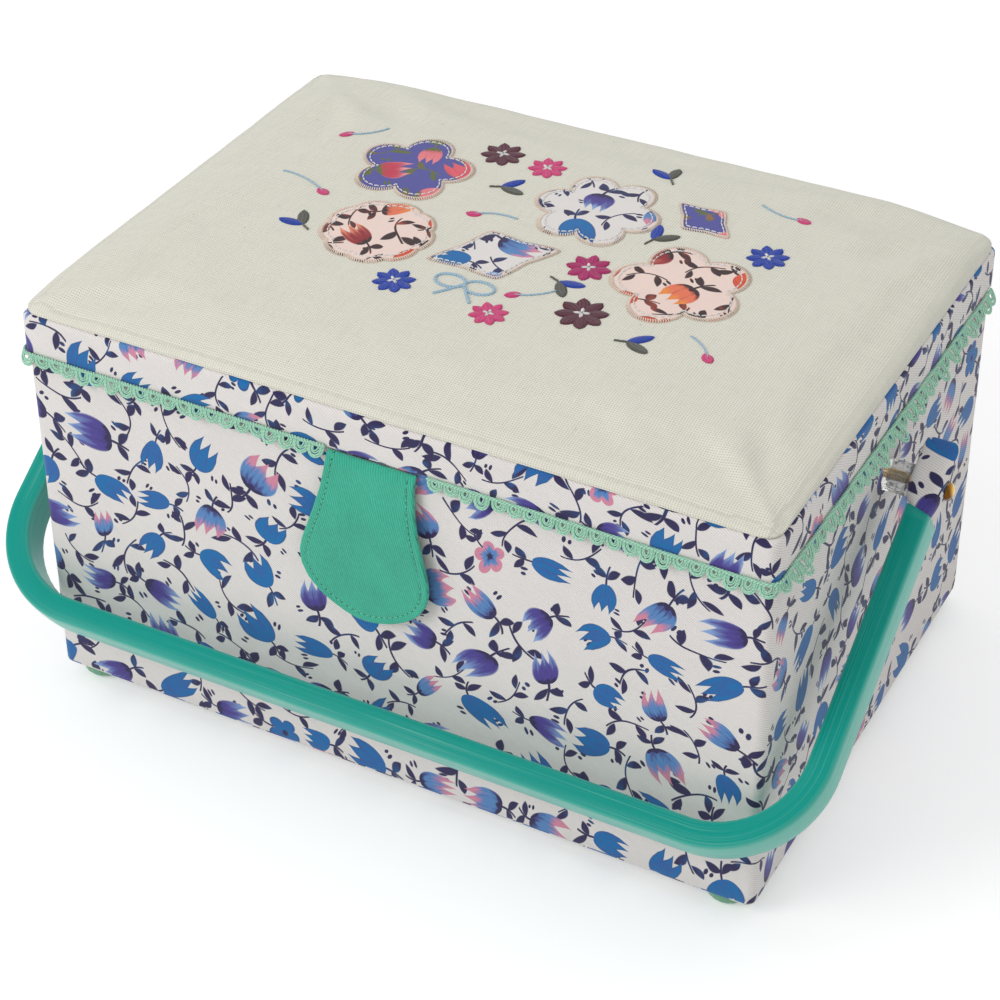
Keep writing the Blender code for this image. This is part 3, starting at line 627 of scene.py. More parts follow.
def thread_material(name, colour):
    """Twisted thread."""
    made, net, shader = new_material(name)
    place = cloth_place(net)
    twist = net.group("Twisted thread", Place=place, Lay=1.5 * MM)
    shade = twist["Shade"].ramp(0.1, 0.95, 0.6, 1.06, "LINEAR")
    net.join(net.scale(dyed(net, colour, place, 260.0, 0.2), shade), shader.inputs["Base Color"])
    set_shader(shader, Roughness=0.6, Sheen_Weight=0.3, Specular_IOR_Level=0.35)
    bump(net, shader, twist["Height"], 0.1 * MM, 0.8)
    return made


def plastic_material(name, colour, roughness, coat=0.0):
    """Moulded plastic with faint flow marks and scuffs."""
    made, net, shader = new_material(name)
    place = own_place(net)
    net.join(dyed(net, colour, place, 60.0, 0.06), shader.inputs["Base Color"])
    rub = net.noise(place, 700.0, 3.0).ramp(0.3, 0.75, roughness - 0.04, roughness + 0.08)
    net.join(rub, shader.inputs["Roughness"])
    set_shader(shader, Coat_Weight=coat, Coat_Roughness=0.12, IOR=1.5)
    bump(net, shader, net.noise(place, 420.0), 0.02 * MM, 0.5)
    return made


def metal_material(name, colour, roughness, dark_rim_reflection=None):
    """Polished metal with fine hairlines. The pins get a painted dark reflection round the rims of their
    heads.
    """
    made, net, shader = new_material(name)
    place = own_place(net)
    base = dyed(net, colour, place, 500.0, 0.12)
    if dark_rim_reflection:
        # Painted dark reflection round the rim of each pin's head
        _, y, z = net.parts(place)
        off_axis = net.reach(y - (PIVOT.y + 0.5 * MM), z - (PIVOT.z + 0.8 * MM))
        base = net.mix(off_axis.ramp(1.0 * MM, 3.4 * MM), base, dark_rim_reflection)
    net.join(base, shader.inputs["Base Color"])
    set_shader(shader, Metallic=1.0)
    lines = net.noise(net.vector("MULTIPLY", place, (300.0, 2600.0, 2600.0)), 1.0)
    net.join(lines.ramp(0.3, 0.7, roughness * 0.7, roughness * 1.5), shader.inputs["Roughness"])
    return made


def grip_material(plastics):
    """The handle's sleeve: deep colour, with a painted pale reflection on the broad faces and painted
    highlight streaks along it.
    """
    made, net, shader = new_material("grip_plastic")
    u, v, _ = net.parts(cloth_place(net))
    # Painted reflection: the broad faces turn paler
    broad = abs(net.math("COSINE", v * (2 * math.pi))).ramp(0.55, 0.85)
    streak = net.noise(net.point(u * 7.0, v * 60.0), 1.0, 3.0)
    patchy = net.noise(net.point(u * 12.0, v * 3.0), 1.0, 1.0)
    # Painted highlights: lighter streaks along the sleeve, in patches
    light = streak.ramp(0.5, 0.72) * patchy.ramp(0.4, 0.65, 0.0, 0.36)
    colour = net.mix(broad, tuple(plastics.grip), tuple(plastics.grip_reflection))
    colour = net.mix(light, colour, tuple(plastics.grip_highlight))
    net.join(dyed(net, colour, own_place(net), 30.0, 0.06), shader.inputs["Base Color"])
    net.join(streak.ramp(0.3, 0.7, 0.26, 0.38), shader.inputs["Roughness"])
    set_shader(shader, IOR=1.5, Specular_IOR_Level=0.16)
    bump(net, shader, streak, 0.03 * MM, 0.5)
    return made


def clear_material(plastics):
    """Clear plastic."""
    made, net, shader = new_material("clear_plastic")
    place = own_place(net)
    net.join(dyed(net, tuple(plastics.clear), place, 200.0, 0.05), shader.inputs["Base Color"])
    net.join(net.noise(place, 500.0).ramp(0.3, 0.7, 0.05, 0.14), shader.inputs["Roughness"])
    set_shader(shader, Transmission_Weight=0.9, IOR=1.45)
    return made


def board_material():
    """Grey board with paper fibres."""
    made, net, shader = new_material("board")
    fibres = net.noise(net.vector("MULTIPLY", own_place(net), (400.0, 900.0, 1800.0)), 1.0, 3.0)
    colour = net.mix(fibres.ramp(0.3, 0.7), srgb(128, 122, 112), srgb(176, 168, 154))
    net.join(colour, shader.inputs["Base Color"])
    set_shader(shader, Roughness=0.9)
    bump(net, shader, fibres, 0.08 * MM, 0.5)
    return made


LOOKS = {}
# tab_hole_shade is painted shade: dark thread in the tab's needle holes
THREADS = {
    "edge_thread": (244, 226, 210), "white_thread": (240, 240, 236), "maroon_thread": (92, 32, 54),
    "pink_thread": (226, 70, 134), "magenta_thread": (184, 24, 108), "royal_thread": (24, 66, 178),
    "grey_thread": (92, 92, 84), "pale_thread": (166, 200, 222), "tab_hole_shade": (14, 84, 62),
}


def make_looks(scene):
    """All the materials, from the sizes and colours that the user sets."""
    cloth, plastics, braid = scene.sewing_box_cloth, scene.sewing_box_plastics, scene.sewing_box_braid
    flowers = {key.title(): tuple(getattr(cloth, key))
               for key in ("ground", "blue", "violet", "sky", "pink", "stem")}
    flowers["Repeat"] = cloth.print_repeat
    coral = dict(flowers, Ground=srgb(240, 216, 206), Blue=srgb(226, 92, 60), Violet=srgb(150, 44, 52),
                 Sky=srgb(240, 150, 116), Pink=srgb(238, 142, 70), Stem=srgb(58, 38, 42))
    violet = dict(flowers, Ground=srgb(86, 86, 158), Blue=srgb(226, 96, 112), Violet=srgb(196, 60, 84),
                  Sky=srgb(240, 160, 164), Pink=srgb(234, 136, 140), Stem=srgb(98, 108, 62))
    cotton = ("Twill weave", {"Pitch": cloth.twill_pitch, "Across": 0.5, "Up": 0.87, "Slub": 0.12})
    fine = ("Plain weave", {"Pitch": 0.5 * MM, "Slub": 0.15})
    LOOKS["printed_cotton"] = cloth_material("printed_cotton", cotton, flowers, relief=0.1,
                                             shades=(0.7, 1.1), dye=0.06)
    for name, look in (("blue_patch", flowers), ("coral_patch", coral), ("violet_patch", violet)):
        LOOKS[name] = cloth_material(name, fine, look, relief=0.05, shades=(0.84, 1.05), dye=0.05)
    LOOKS["cream_canvas"] = cloth_material(
        "cream_canvas", ("Plain weave", {"Pitch": cloth.canvas_pitch, "Slub": 0.14}), tuple(cloth.canvas),
        relief=0.2, shades=(0.56, 1.1), dye=0.05, flecks=srgb(158, 142, 112))
    LOOKS["green_twill"] = cloth_material(
        "green_twill", ("Twill weave", {"Pitch": 1.05 * MM, "Across": 1.0, "Up": 0.35, "Slub": 0.2}),
        tuple(cloth.tab), relief=0.16, shades=(0.52, 1.17), sheen=0.35, dye=0.3)
    LOOKS["lining_cloth"] = cloth_material("lining_cloth", fine, tuple(cloth.lining), relief=0.08,
                                           shades=(0.82, 1.05), dye=0.07)
    LOOKS["braid"] = thread_material("braid", tuple(braid.braid))
    LOOKS["tab_thread"] = thread_material("tab_thread", tuple(braid.tab_thread))
    for name, value in THREADS.items():
        LOOKS[name] = thread_material(name, srgb(*value))
    LOOKS["grip_plastic"] = grip_material(plastics)
    LOOKS["foot_plastic"] = plastic_material("foot_plastic", tuple(plastics.foot), 0.3, coat=0.3)
    LOOKS["tray_plastic"] = plastic_material("tray_plastic", tuple(plastics.tray), 0.42)
    # The brass pins' dark rims are a painted reflection
    LOOKS["brass"] = metal_material("brass", tuple(plastics.brass), 0.14, dark_rim_reflection=srgb(104, 68, 28))
    LOOKS["nickel"] = metal_material("nickel", srgb(206, 206, 204), 0.3)
    LOOKS["clear_plastic"] = clear_material(plastics)
    LOOKS["board"] = board_material()


# Meshes


@contextmanager
def editing(mesh):
    """The mesh open for bmesh, written back afterwards."""
    bm = bmesh.new()
    bm.from_mesh(mesh)
    yield bm
    bm.to_mesh(mesh)
    bm.free()


def finished(name, mesh, look, body):
    """The named piece of a mesh, with its faces turned outward, on its body."""
    with editing(mesh) as bm:
        bmesh.ops.recalc_face_normals(bm, faces=bm.faces)
    mesh.shade_smooth()
    made = bpy.data.objects.new(name, mesh)
    bpy.context.scene.collection.objects.link(made)
    mesh.materials.append(LOOKS[look])
    if body:
        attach(made, body)
    return made


def sheet_piece(name, mesh, look, body, stands_for, **sheet):
    """A piece of one cloth that stands for nodes of the frame."""
    made = finished(name, mesh, look, body)
    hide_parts(*stands_for)
    return made


def padded_piece(made, stands_for):
    """Put a padded piece on the lid in place of its nodes."""
    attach(made, "lid")
    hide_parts(*stands_for)
    return made


def mesh_of(name, verts, faces, corners=None):
    """A mesh with the flat cloth's places on its corners."""
    mesh = bpy.data.meshes.new(name)
    mesh.from_pydata(np.asarray(verts, float).tolist(), [], faces)
    if corners is not None:
        layer = mesh.uv_layers.new(name=CLOTH_MAP)
        layer.uv.foreach_set("vector", np.asarray(corners, np.float32).ravel())
    return mesh


def skin_faces(rows, cols, wrap_rows, wrap_cols):
    """Faces of a grid of points, and the row and column of each corner before wrapping."""
    faces, corners = [], []
    for i in range(rows if wrap_rows else rows - 1):
        for j in range(cols if wrap_cols else cols - 1):
            here, ahead = i * cols, (i + 1) % rows * cols
            b = (j + 1) % cols
            faces.append((here + j, here + b, ahead + b, ahead + j))
            corners.append(((i, j), (i, j + 1), (i + 1, j + 1), (i + 1, j)))
    return faces, corners


def skin(name, points, u, v, wrap_rows=False, wrap_cols=False, caps=False):
    """A mesh over rows and columns of points, with places u along the columns and v along the rows."""
    points = np.asarray(points, float)
    rows, cols = points.shape[:2]
    faces, corners = skin_faces(rows, cols, wrap_rows, wrap_cols)
    places = [(u[j], v[i]) for face in corners for i, j in face]
    if caps:
        for row in (0, rows - 1):
            faces.append(tuple(row * cols + j for j in range(cols)))
            places += [(u[j], v[row]) for j in range(cols)]
    return mesh_of(name, points.reshape(-1, 3), faces, places)


def rounded_loop(width, depth, radius, across, along):
    """Points round a rounded rectangle from the middle of its back, by its left, front and right."""
    w, d, r = width / 2, depth / 2, radius
    points = []

    def straight(a, b, steps):
        for k in range(steps):
            t = k / steps
            points.append((a[0] + (b[0] - a[0]) * t, a[1] + (b[1] - a[1]) * t))

    def corner(cx, cy, start):
        for k in range(CORNER_STEPS):
            turn = math.radians(start + 90 * k / CORNER_STEPS)
            points.append((cx + r * math.cos(turn), cy + r * math.sin(turn)))

    straight((0, d), (-w + r, d), across // 2)
    corner(-w + r, d - r, 90)
    straight((-w, d - r), (-w, -d + r), along)
    corner(-w + r, -d + r, 180)
    straight((-w + r, -d), (w - r, -d), across)
    corner(w - r, -d + r, 270)
    straight((w, -d + r), (w, d - r), along)
    corner(w - r, d - r, 0)
    straight((w - r, d), (0, d), across // 2)
    return np.array(points)


def lengths(points, closed=False):
    """Distance gone at each point of a line."""
    points = np.asarray(points, float)
    if closed:
        points = np.vstack([points, points[:1]])
    steps = np.linalg.norm(np.diff(points, axis=0), axis=1)
    return np.concatenate([[0.0], np.cumsum(steps)])


def unit(vectors):
    """Rows of vectors at length 1."""
    return vectors / np.maximum(np.linalg.norm(vectors, axis=1, keepdims=True), TINY)


def outward_of(loop):
    """Directions square to a loop of points, away from its middle."""
    ahead = unit(np.roll(loop, -1, axis=0) - np.roll(loop, 1, axis=0))
    return np.stack([ahead[:, 1], -ahead[:, 0]], axis=1)


def wrapped(name, low, high, radius, profile, swell, spacing=5.0 * MM, closed=True):
    """Cloth carried round a box's corners by a profile of (inset, height, how far it may swell)."""
    width, depth = high.x - low.x, high.y - low.y
    middle = (low + high) / 2
    across = 2 * round(width / spacing / 2)
    along = round(depth / spacing)
    rings = []
    u = lengths(rounded_loop(width, depth, radius, across, along), closed=True)
    for inset, height, free in profile:
        bend = max(radius - inset, LEAST_BEND)
        loop = rounded_loop(width - 2 * inset, depth - 2 * inset, bend, across, along)
        if free:
            push = np.array([swell(s, height) for s in u[:-1]]) * free
            loop = loop + outward_of(loop) * push[:, None]
        rings.append([(x + middle.x, y + middle.y, height) for x, y in loop])
    # The print runs upright on the outer face, so v there is the height itself
    v = lengths([(inset, height) for inset, height, _ in profile], closed=True)
    v = v - v[0] + profile[0][1]
    return skin(name, rings, u, v, wrap_rows=closed, wrap_cols=True, caps=not closed)


def cloth_swell(seed, size, scale=38.0):
    """Soft unevenness of cloth glued to board, outward only."""
    def swell(s, height):
        value = noise.noise(Vector((s * scale, height * scale, seed)))
        fine = noise.noise(Vector((s * scale * 3.1, height * scale * 3.1, seed + 5.0)))
        return size * max(0.0, 0.5 + 0.8 * value + 0.3 * fine)
    return swell


def arc(cx, cz, radius, start, end, steps, free=0.0):
    """Profile points on an arc, with the inset to the right and the height upward."""
    made = []
    for k in range(steps + 1):
        turn = math.radians(start + (end - start) * k / steps)
        made.append((cx + radius * math.cos(turn), cz + radius * math.sin(turn), free))
    return made


def slab_mesh(name, face, back, place):
    """A thin closed sheet between two grids of points, with the flat place of each row and column."""
    face, back = np.asarray(face, float), np.asarray(back, float)
    rows, cols = face.shape[:2]
    faces, corners = skin_faces(rows, cols, False, False)
    places = [place(i, j) for quad in corners for i, j in quad]
    shift = rows * cols
    places += [place(i, j) for quad in corners for i, j in quad[::-1]]
    faces += [tuple(shift + k for k in quad[::-1]) for quad in faces]
    border = [(0, j) for j in range(cols)] + [(i, cols - 1) for i in range(1, rows)]
    border += [(rows - 1, j) for j in range(cols - 2, -1, -1)] + [(i, 0) for i in range(rows - 2, 0, -1)]
    for k, (i, j) in enumerate(border):
        a, b = border[(k + 1) % len(border)]
        faces.append((i * cols + j, a * cols + b, shift + a * cols + b, shift + i * cols + j))
        places += [place(i, j), place(a, b), place(a, b), place(i, j)]
    return mesh_of(name, np.vstack([face.reshape(-1, 3), back.reshape(-1, 3)]), faces, places)


def slack(size, x, y, seed):
    """How far a stretched cloth gives at a point."""
    return size * MM * abs(noise.noise(Vector((x, y, seed))))


def line_inside(name, node, body, levels, run, free, **sheet):
    """A lining that turns over a rim, runs along the walls and lies on the edge of the floor."""
    far, rim, floor = levels
    profile = [(0.0, far, 0.0), (0.0, rim, 0.0), (CLOTH, rim, 0.0)]
    profile += [(CLOTH, z, free) for z in run]
    profile += [(CLOTH + 0.8 * MM, floor, 0.0), (LINING_EDGE, floor, 0.0)]
    mesh = wrapped(name, *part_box(node), LINING_CORNER, profile, cloth_swell(21.0, -0.2 * MM), closed=False)
    sheet_piece(name, mesh, "lining_cloth", body, [node], **sheet)


# Thread


def tube_mesh(points, radius, sides=5, flat=1.0, up=(0, 0, 1)):
    """Verts, faces and corner places of a thread along points. A list of radii makes it swell or taper."""
    points = np.asarray(points, float)
    count = len(points)
    radii = np.broadcast_to(np.asarray(radius, float), count)
    ahead = unit(np.gradient(points, axis=0))
    side = np.cross(ahead, np.asarray(up, float))
    weak = np.linalg.norm(side, axis=1) < 0.2
    side[weak] = np.cross(ahead[weak], (0.3, 1.0, 0.2))
    side = unit(side)
    over = np.cross(side, ahead)
    turns = np.arange(sides) * 2 * math.pi / sides
    ring = np.cos(turns)[None, :, None] * side[:, None, :]
    ring = ring + np.sin(turns)[None, :, None] * flat * over[:, None, :]
    verts = points[:, None, :] + ring * radii[:, None, None]
    along = lengths(points)
    faces, corners = skin_faces(count, sides, False, True)
    places = [(along[i], j / sides) for face in corners for i, j in face]
    for row in (0, count - 1):
        faces.append(tuple(row * sides + j for j in range(sides)))
        places += [(along[row], j / sides) for j in range(sides)]
    return verts.reshape(-1, 3), faces, places


class ThreadWork:
    """Threads gathered by colour, made into one piece for each colour."""

    def __init__(self):
        self.held = {}

    def add(self, colour, points, radius, **shape):
        verts, faces, places = tube_mesh(points, radius, **shape)
        held = self.held.setdefault(colour, ([], [], [], [0]))
        first = held[3][0]
        held[0].append(verts)
        held[1].extend(tuple(i + first for i in face) for face in faces)
        held[2].extend(places)
        held[3][0] += len(verts)

    def pieces(self, prefix, body):
        made = {}
        for colour, (verts, faces, places, _) in self.held.items():
            name = f"{prefix}_{colour}"
            mesh = mesh_of(name, np.vstack(verts), faces, places)
            made[colour] = finished(name, mesh, colour, body)
        return made


def stitches_along(work, colour, line, count, shape, point, radius, sides=5):
    """Even stitches along a flat line. The shape gives, along one of them, its share gone and its lift."""
    line = np.asarray(line, float)
    gone = lengths(line)
    for k in range(count):
        stitch = []
        for share, lift in shape:
            s = gone[-1] * (k + share) / count
            stitch.append(point(np.interp(s, gone, line[:, 0]), np.interp(s, gone, line[:, 1]), lift))
        work.add(colour, stitch, radius, sides=sides)


# Padding by simulation


PUFF_FRAMES = 20


def puffed(piece, held, pressure, cap):
    """Blow a closed piece up as cloth with some points held, and keep every point within the cap."""
    start = np.array([v.co for v in piece.data.vertices])
    group = piece.vertex_groups.new(name="held")
    group.add(held, 1.0, "REPLACE")
    cloth = piece.modifiers.new("Puff", "CLOTH")
    cloth.settings.quality = 5
    cloth.settings.use_pressure = True
    cloth.settings.uniform_pressure_force = pressure
    cloth.settings.vertex_group_mass = group.name
    cloth.settings.effector_weights.gravity = 0.0
    cloth.point_cache.frame_start = 1
    cloth.point_cache.frame_end = PUFF_FRAMES
    scene = bpy.context.scene
    for step in range(1, PUFF_FRAMES + 1):
        scene.frame_set(step)
    seen = piece.evaluated_get(bpy.context.evaluated_depsgraph_get())
    change = np.array([v.co for v in seen.data.vertices]) - start
    piece.modifiers.remove(cloth)
    piece.vertex_groups.remove(group)
    scene.frame_set(1)
    far = np.linalg.norm(change, axis=1, keepdims=True)
    change *= np.minimum(1.0, cap / np.maximum(far, TINY))
    piece.data.vertices.foreach_set("co", (start + change).ravel())
    piece.data.update()


def refine(piece, underside=None):
    """Subdivide a piece and keep the result as its mesh. A broad underside stays one face."""
    if underside is not None:
        with editing(piece.data) as bm:
            bm.faces.ensure_lookup_table()
            bmesh.ops.delete(bm, geom=[bm.faces[underside]], context="FACES_ONLY")
    step = piece.modifiers.new("Smooth", "SUBSURF")
    step.levels = 1
    step.uv_smooth = "PRESERVE_BOUNDARIES"
    seen = piece.evaluated_get(bpy.context.evaluated_depsgraph_get())
    mesh = bpy.data.meshes.new_from_object(seen)
    piece.modifiers.remove(step)
    if underside is not None:
        with editing(mesh) as bm:
            bmesh.ops.holes_fill(bm, edges=[edge for edge in bm.edges if edge.is_boundary], sides=0)
            bmesh.ops.recalc_face_normals(bm, faces=bm.faces)
    mesh.name = piece.data.name
    piece.data = mesh


# Pieces


def build_body_cloth():
    """The printed cotton round the walls, with its turned-in edges."""
    low, high = BODY_LOW.z, BODY_HIGH.z
    rise = np.linspace(low + BASE_BEND, high - TOP_BEND, 30)
    profile = [(0.0, z, min(1.0, (z - low) / SWELL_FADE, (high - z) / SWELL_FADE)) for z in rise]
    profile += arc(TOP_BEND, high - TOP_BEND, TOP_BEND, 180, 90, 4)[1:]
    profile += [(INNER, high, 0.0), (INNER, high - CLOTH, 0.0), (TOP_BEND, high - CLOTH, 0.0),
                (CLOTH, high - CLOTH - 0.5 * MM, 0.0), (CLOTH, low + CLOTH + 0.5 * MM, 0.0),
                (TOP_BEND, low + CLOTH, 0.0), (TURN_IN, low + CLOTH, 0.0), (TURN_IN, low, 0.0)]
    profile += arc(BASE_BEND, low + BASE_BEND, BASE_BEND, 270, 180, 4)[:-1]
    mesh = wrapped("body_cloth", BODY_LOW, BODY_HIGH, CORNER, profile, cloth_swell(1.0, 0.3 * MM))
    sheet_piece("body_cloth", mesh, "printed_cotton", "body", ["body_cover"],
                flat=(1.092, 0.188), held="stretched", rests_on=WALL_BOARDS)


def build_lid_cloth():
    """The printed cotton round the lid's rim, rolled over its top edge."""
    low, high = LID_LOW.z, LID_HIGH.z
    rise = np.linspace(low + 1.3 * MM, high - 2.2 * MM, 9)
    profile = [(0.0, z, min(1.0, (high - z) / (5 * MM))) for z in rise]
    profile += arc(RIM_BEND, high - RIM_BEND, RIM_BEND, 180, 90, 5)[1:]
    profile += [(TURN_IN, high, 0.0), (TURN_IN, high - CLOTH, 0.0), (1.4 * MM, high - CLOTH, 0.0),
                (CLOTH, high - 1.4 * MM, 0.0), (CLOTH, low + TOP_BEND, 0.0),
                (TOP_BEND, low + CLOTH, 0.0), (INNER, low + CLOTH, 0.0), (INNER, low, 0.0)]
    profile += arc(TOP_BEND, low + TOP_BEND, TOP_BEND, 270, 180, 4)[:-1]
    mesh = wrapped("lid_cloth", LID_LOW, LID_HIGH, CORNER, profile, cloth_swell(9.0, 0.25 * MM, 46.0),
                   spacing=4.0 * MM)
    sheet_piece("lid_cloth", mesh, "printed_cotton", "lid", ["lid_cover"],
                flat=(1.098, 0.038), held="stretched", rests_on=LID_BOARDS)


PAD_CORNER = 6.5 * MM
PAD_SHY = 0.3 * MM
PAD_EDGE = 2.0 * MM
PAD_EDGE_DROP = 1.4 * MM
PAD_PROUD = 4.0 * MM
# The pad's side, from its rim down to the board: share of the way down, and how far out it stands
PAD_SIDE = ((0.2, 0.4), (0.45, 0.62), (0.7, 0.55), (0.9, 0.2), (1.0, -0.35))


def pad_height(across, along, inset):
    """How high the pad's top lies above its board, from its place as shares of half the pad."""
    near = min(1.0, max(0.0, (min(abs(across), abs(along)) - 0.7) / 0.3))
    full = 1 - 0.62 * near * near * (3 - 2 * near)
    # The wadding is thick along the back and thins out towards the back left corner
    left = min(1.0, max(0.0, (-across - 0.88) / 0.12))
    side = 4.2 + 2.4 * along + 1.0 * across + 0.8 * along * across - (1.0 + 3.2 * along) * left
    side = 2.2 + side * full
    roll = 2.4 * (1 - (1 - min(1.0, inset / (10 * MM))) ** 2)
    dome = 1.2 * (1 - (1 - min(1.0, inset / (74 * MM))) ** 3)
    return (side + roll + dome) * MM


def build_pad(scene):
    """The padded canvas on the lid: a crowned, closed form that the wadding pushes out."""
    half = Vector(((PAD_HIGH.x - PAD_LOW.x) / 2 - PAD_SHY, (PAD_HIGH.y - PAD_LOW.y) / 2 - PAD_SHY))
    nx, ny = 76, 54
    spread = 0.36 * math.pi

    def eased(count):
        return np.sin(np.linspace(-1, 1, count + 1) * spread) / math.sin(spread)

    verts, faces, index = [], [], {}
    for j, along in enumerate(eased(ny) * half.y):
        for i, across in enumerate(eased(nx) * half.x):
            x, y = across, along
            inset = min(half.x - abs(x), half.y - abs(y))
            dx, dy = abs(x) - (half.x - PAD_CORNER), abs(y) - (half.y - PAD_CORNER)
            if dx > 0 and dy > 0:
                far = max(dx, dy)
                keep = far / math.hypot(dx, dy)
                x = math.copysign(half.x - PAD_CORNER + dx * keep, x)
                y = math.copysign(half.y - PAD_CORNER + dy * keep, y)
                inset = PAD_CORNER - far
            lower = PAD_EDGE_DROP * (1 - min(1.0, inset / PAD_EDGE)) ** 2
            index[i, j] = len(verts)
            high = pad_height(across / half.x, along / half.y, inset) - lower
            verts.append((x, y + LID_MIDDLE.y, PAD_LOW.z + high))
    for j in range(ny):
        for i in range(nx):
            faces.append((index[i, j], index[i + 1, j], index[i + 1, j + 1], index[i, j + 1]))
    rim = [index[i, 0] for i in range(nx)] + [index[nx, j] for j in range(ny)]
    rim += [index[i, ny] for i in range(nx, 0, -1)] + [index[0, j] for j in range(ny, 0, -1)]
    rows = [rim]
    base = PAD_LOW.z + 0.05 * MM
    for drop, bulge in PAD_SIDE:
        row = []
        for k in rim:
            x, y, z = verts[k]
            sx = max(0.0, abs(x) - (half.x - PAD_CORNER)) / PAD_CORNER
            sy = max(0.0, abs(y - LID_MIDDLE.y) - (half.y - PAD_CORNER)) / PAD_CORNER
            far = math.hypot(sx, sy) or 1.0
            row.append(len(verts))
            out_x = math.copysign(sx / far * bulge * MM, x)
            out_y = math.copysign(sy / far * bulge * MM, y - LID_MIDDLE.y)
            verts.append((x + out_x, y + out_y, z + (base - z) * drop))
        rows.append(row)
    for upper, lower in zip(rows, rows[1:]):
        for k in range(len(upper)):
            n = (k + 1) % len(upper)
            faces.append((upper[k], lower[k], lower[n], upper[n]))
    faces.append(tuple(rows[-1][::-1]))
    made = finished("canvas_pad", mesh_of("canvas_pad", verts, faces), "cream_canvas", None)
    puffed(made, [k for row in rows[1:] for k in row], 2.5, scene.sewing_box_cloth.puff_limit)
    refine(made, underside=len(faces) - 1)
    mesh = made.data
    co = np.array([v.co for v in mesh.vertices])
    for k in np.nonzero(co[:, 2] > PAD_LOW.z + 0.5 * MM)[0]:
        x, y, z = co[k]
        inset = min(half.x - abs(x), half.y - abs(y - LID_MIDDLE.y))
        near = max(0.0, 1 - inset / (26 * MM))
        pull = noise.noise(Vector((x * 60, y * 60, 2.0))) * 0.35 * MM * near
        soft = noise.noise(Vector((x * 14, y * 14, 4.0))) * 0.7 * MM * (1 - near)
        co[k, 2] = min(z + pull + soft, PAD_HIGH.z + PAD_PROUD)
    mesh.vertices.foreach_set("co", co.ravel())
    # The cloth's places are flat from above and go on down the sides
    flat = co[:, :2] - np.array(LID_MIDDLE)[:2]
    down = np.maximum(0.0, PAD_LOW.z + 9.0 * MM - co[:, 2])
    flat += np.sign(flat) * (np.abs(flat) > np.array(half) - 3.0 * MM) * down[:, None]
    layer = mesh.uv_layers.new(name=CLOTH_MAP)
    corners = np.zeros(len(mesh.loops), np.int32)
    mesh.loops.foreach_get("vertex_index", corners)
    layer.uv.foreach_set("vector", flat[corners].astype(np.float32).ravel())
    mesh.shade_smooth()
    return padded_piece(made, ["canvas_cover", "foam_pad"])


def ground_of(piece):
    """A function that gives the height of a piece under a point seen from above."""
    tree = BVHTree.FromObject(piece, bpy.context.evaluated_depsgraph_get())

    def ground(x, y):
        return tree.ray_cast(Vector((x, y, 1.0)), Vector((0, 0, -1)))[0].z
    return ground


def lid_point(place):
    """A place in millimetres from the middle of the lid, in metres."""
    return place[0] * MM, place[1] * MM + LID_MIDDLE.y


def beside(x, y, turn, far):
    """The point a distance in millimetres away from another."""
    return x + math.cos(turn) * far * MM, y + math.sin(turn) * far * MM


def petal_shape(count, depth, sharp=0.8):
    """Rounded petals round a middle, as reach for each direction."""
    return lambda t: 1 - depth * (1 - abs(math.cos(t * count / 2)) ** sharp)


def leaf_shape(slim):
    """A pointed leaf along its own length, as reach for each direction."""
    def shape(t):
        c, s = abs(math.cos(t)), abs(math.sin(t))
        return 1 / (c + s / slim + 0.35 * min(c, s / slim) - 0.25 * math.sqrt(c * s / slim + 1e-6))
    return shape


# Name, cloth, place in mm from the middle of the lid, reach, turn and shape
PATCHES = (
    ("patch_round", "coral_patch", (-58, -11), 23.5, 0.1, petal_shape(9, 0.08, 0.6)),
    ("patch_violet", "violet_patch", (-70, 39), 25.5, 0.35, petal_shape(5, 0.34)),
    ("patch_blue", "blue_patch", (14, 42), 27.0, 0.0, petal_shape(6, 0.28)),
    ("patch_leaf", "blue_patch", (-8, -6), 26.0, 0.55, leaf_shape(0.66)),
    ("patch_coral", "coral_patch", (68, 6), 28.0, 0.8, petal_shape(5, 0.3)),
    ("patch_sprig_leaf", "violet_patch", (56, 54), 16.0, -0.5, leaf_shape(0.66)),
)

PATCH_SIDES = 144
# A patch from its middle over its edge: share of its reach, and height in millimetres
PATCH_LEVELS = (
    (0.0, 0.62), (0.2, 0.62), (0.4, 0.62), (0.6, 0.6), (0.76, 0.6), (0.88, 0.56), (0.96, 0.5), (1.0, 0.2),
    (1.0, -0.15),
)

# Stitches. Along one of them, the first number is the share gone and the last the height in millimetres
FINE_THREAD = 0.3 * MM
EDGE_STEP = 1.0 * MM
EDGE_STITCH = ((0.0, 0.985, 0.1), (0.2, 1.0, 0.62), (0.5, 1.0, 0.66), (0.8, 1.0, 0.4), (1.0, 1.03, 0.05))
SEAM_STEP = 2.7 * MM
SEAM_INSET = 3.2
SEAM_STITCH = ((0.1, 0.5), (0.3, 0.72), (0.5, 0.8), (0.7, 0.72), (0.84, 0.5))
STEM_STITCH = ((-0.08, 0.0), (0.2, 0.8), (0.5, 1.0), (0.8, 0.8), (1.08, 0.0))
SATIN_STEP = 0.42

# Satin flowers: place, size and colour of the petals
SATIN_FLOWERS = (
    ((-42, 66), 9.4, "maroon_thread"), ((-20, 64), 8.2, "pink_thread"), ((-34, -40), 8.6, "royal_thread"),
    ((30, 2), 9.2, "magenta_thread"), ((42, -28), 10.6, "maroon_thread"), ((90, 40), 8.6, "royal_thread"),
    ((10, -44), 7.8, "pink_thread"),
)

# Stitched stems with a bud at the end: start, end and bend
BUD_STEMS = (
    ((-118, 14), (-94, 6), 2.0), ((-12, 22), (-30, 18), -2.0), ((26, -18), (12, -28), 1.5),
    ((72, 76), (92, 72), -2.0), ((86, -24), (98, -35), 1.5), ((-96, 64), (-110, 52), 2.0),
)

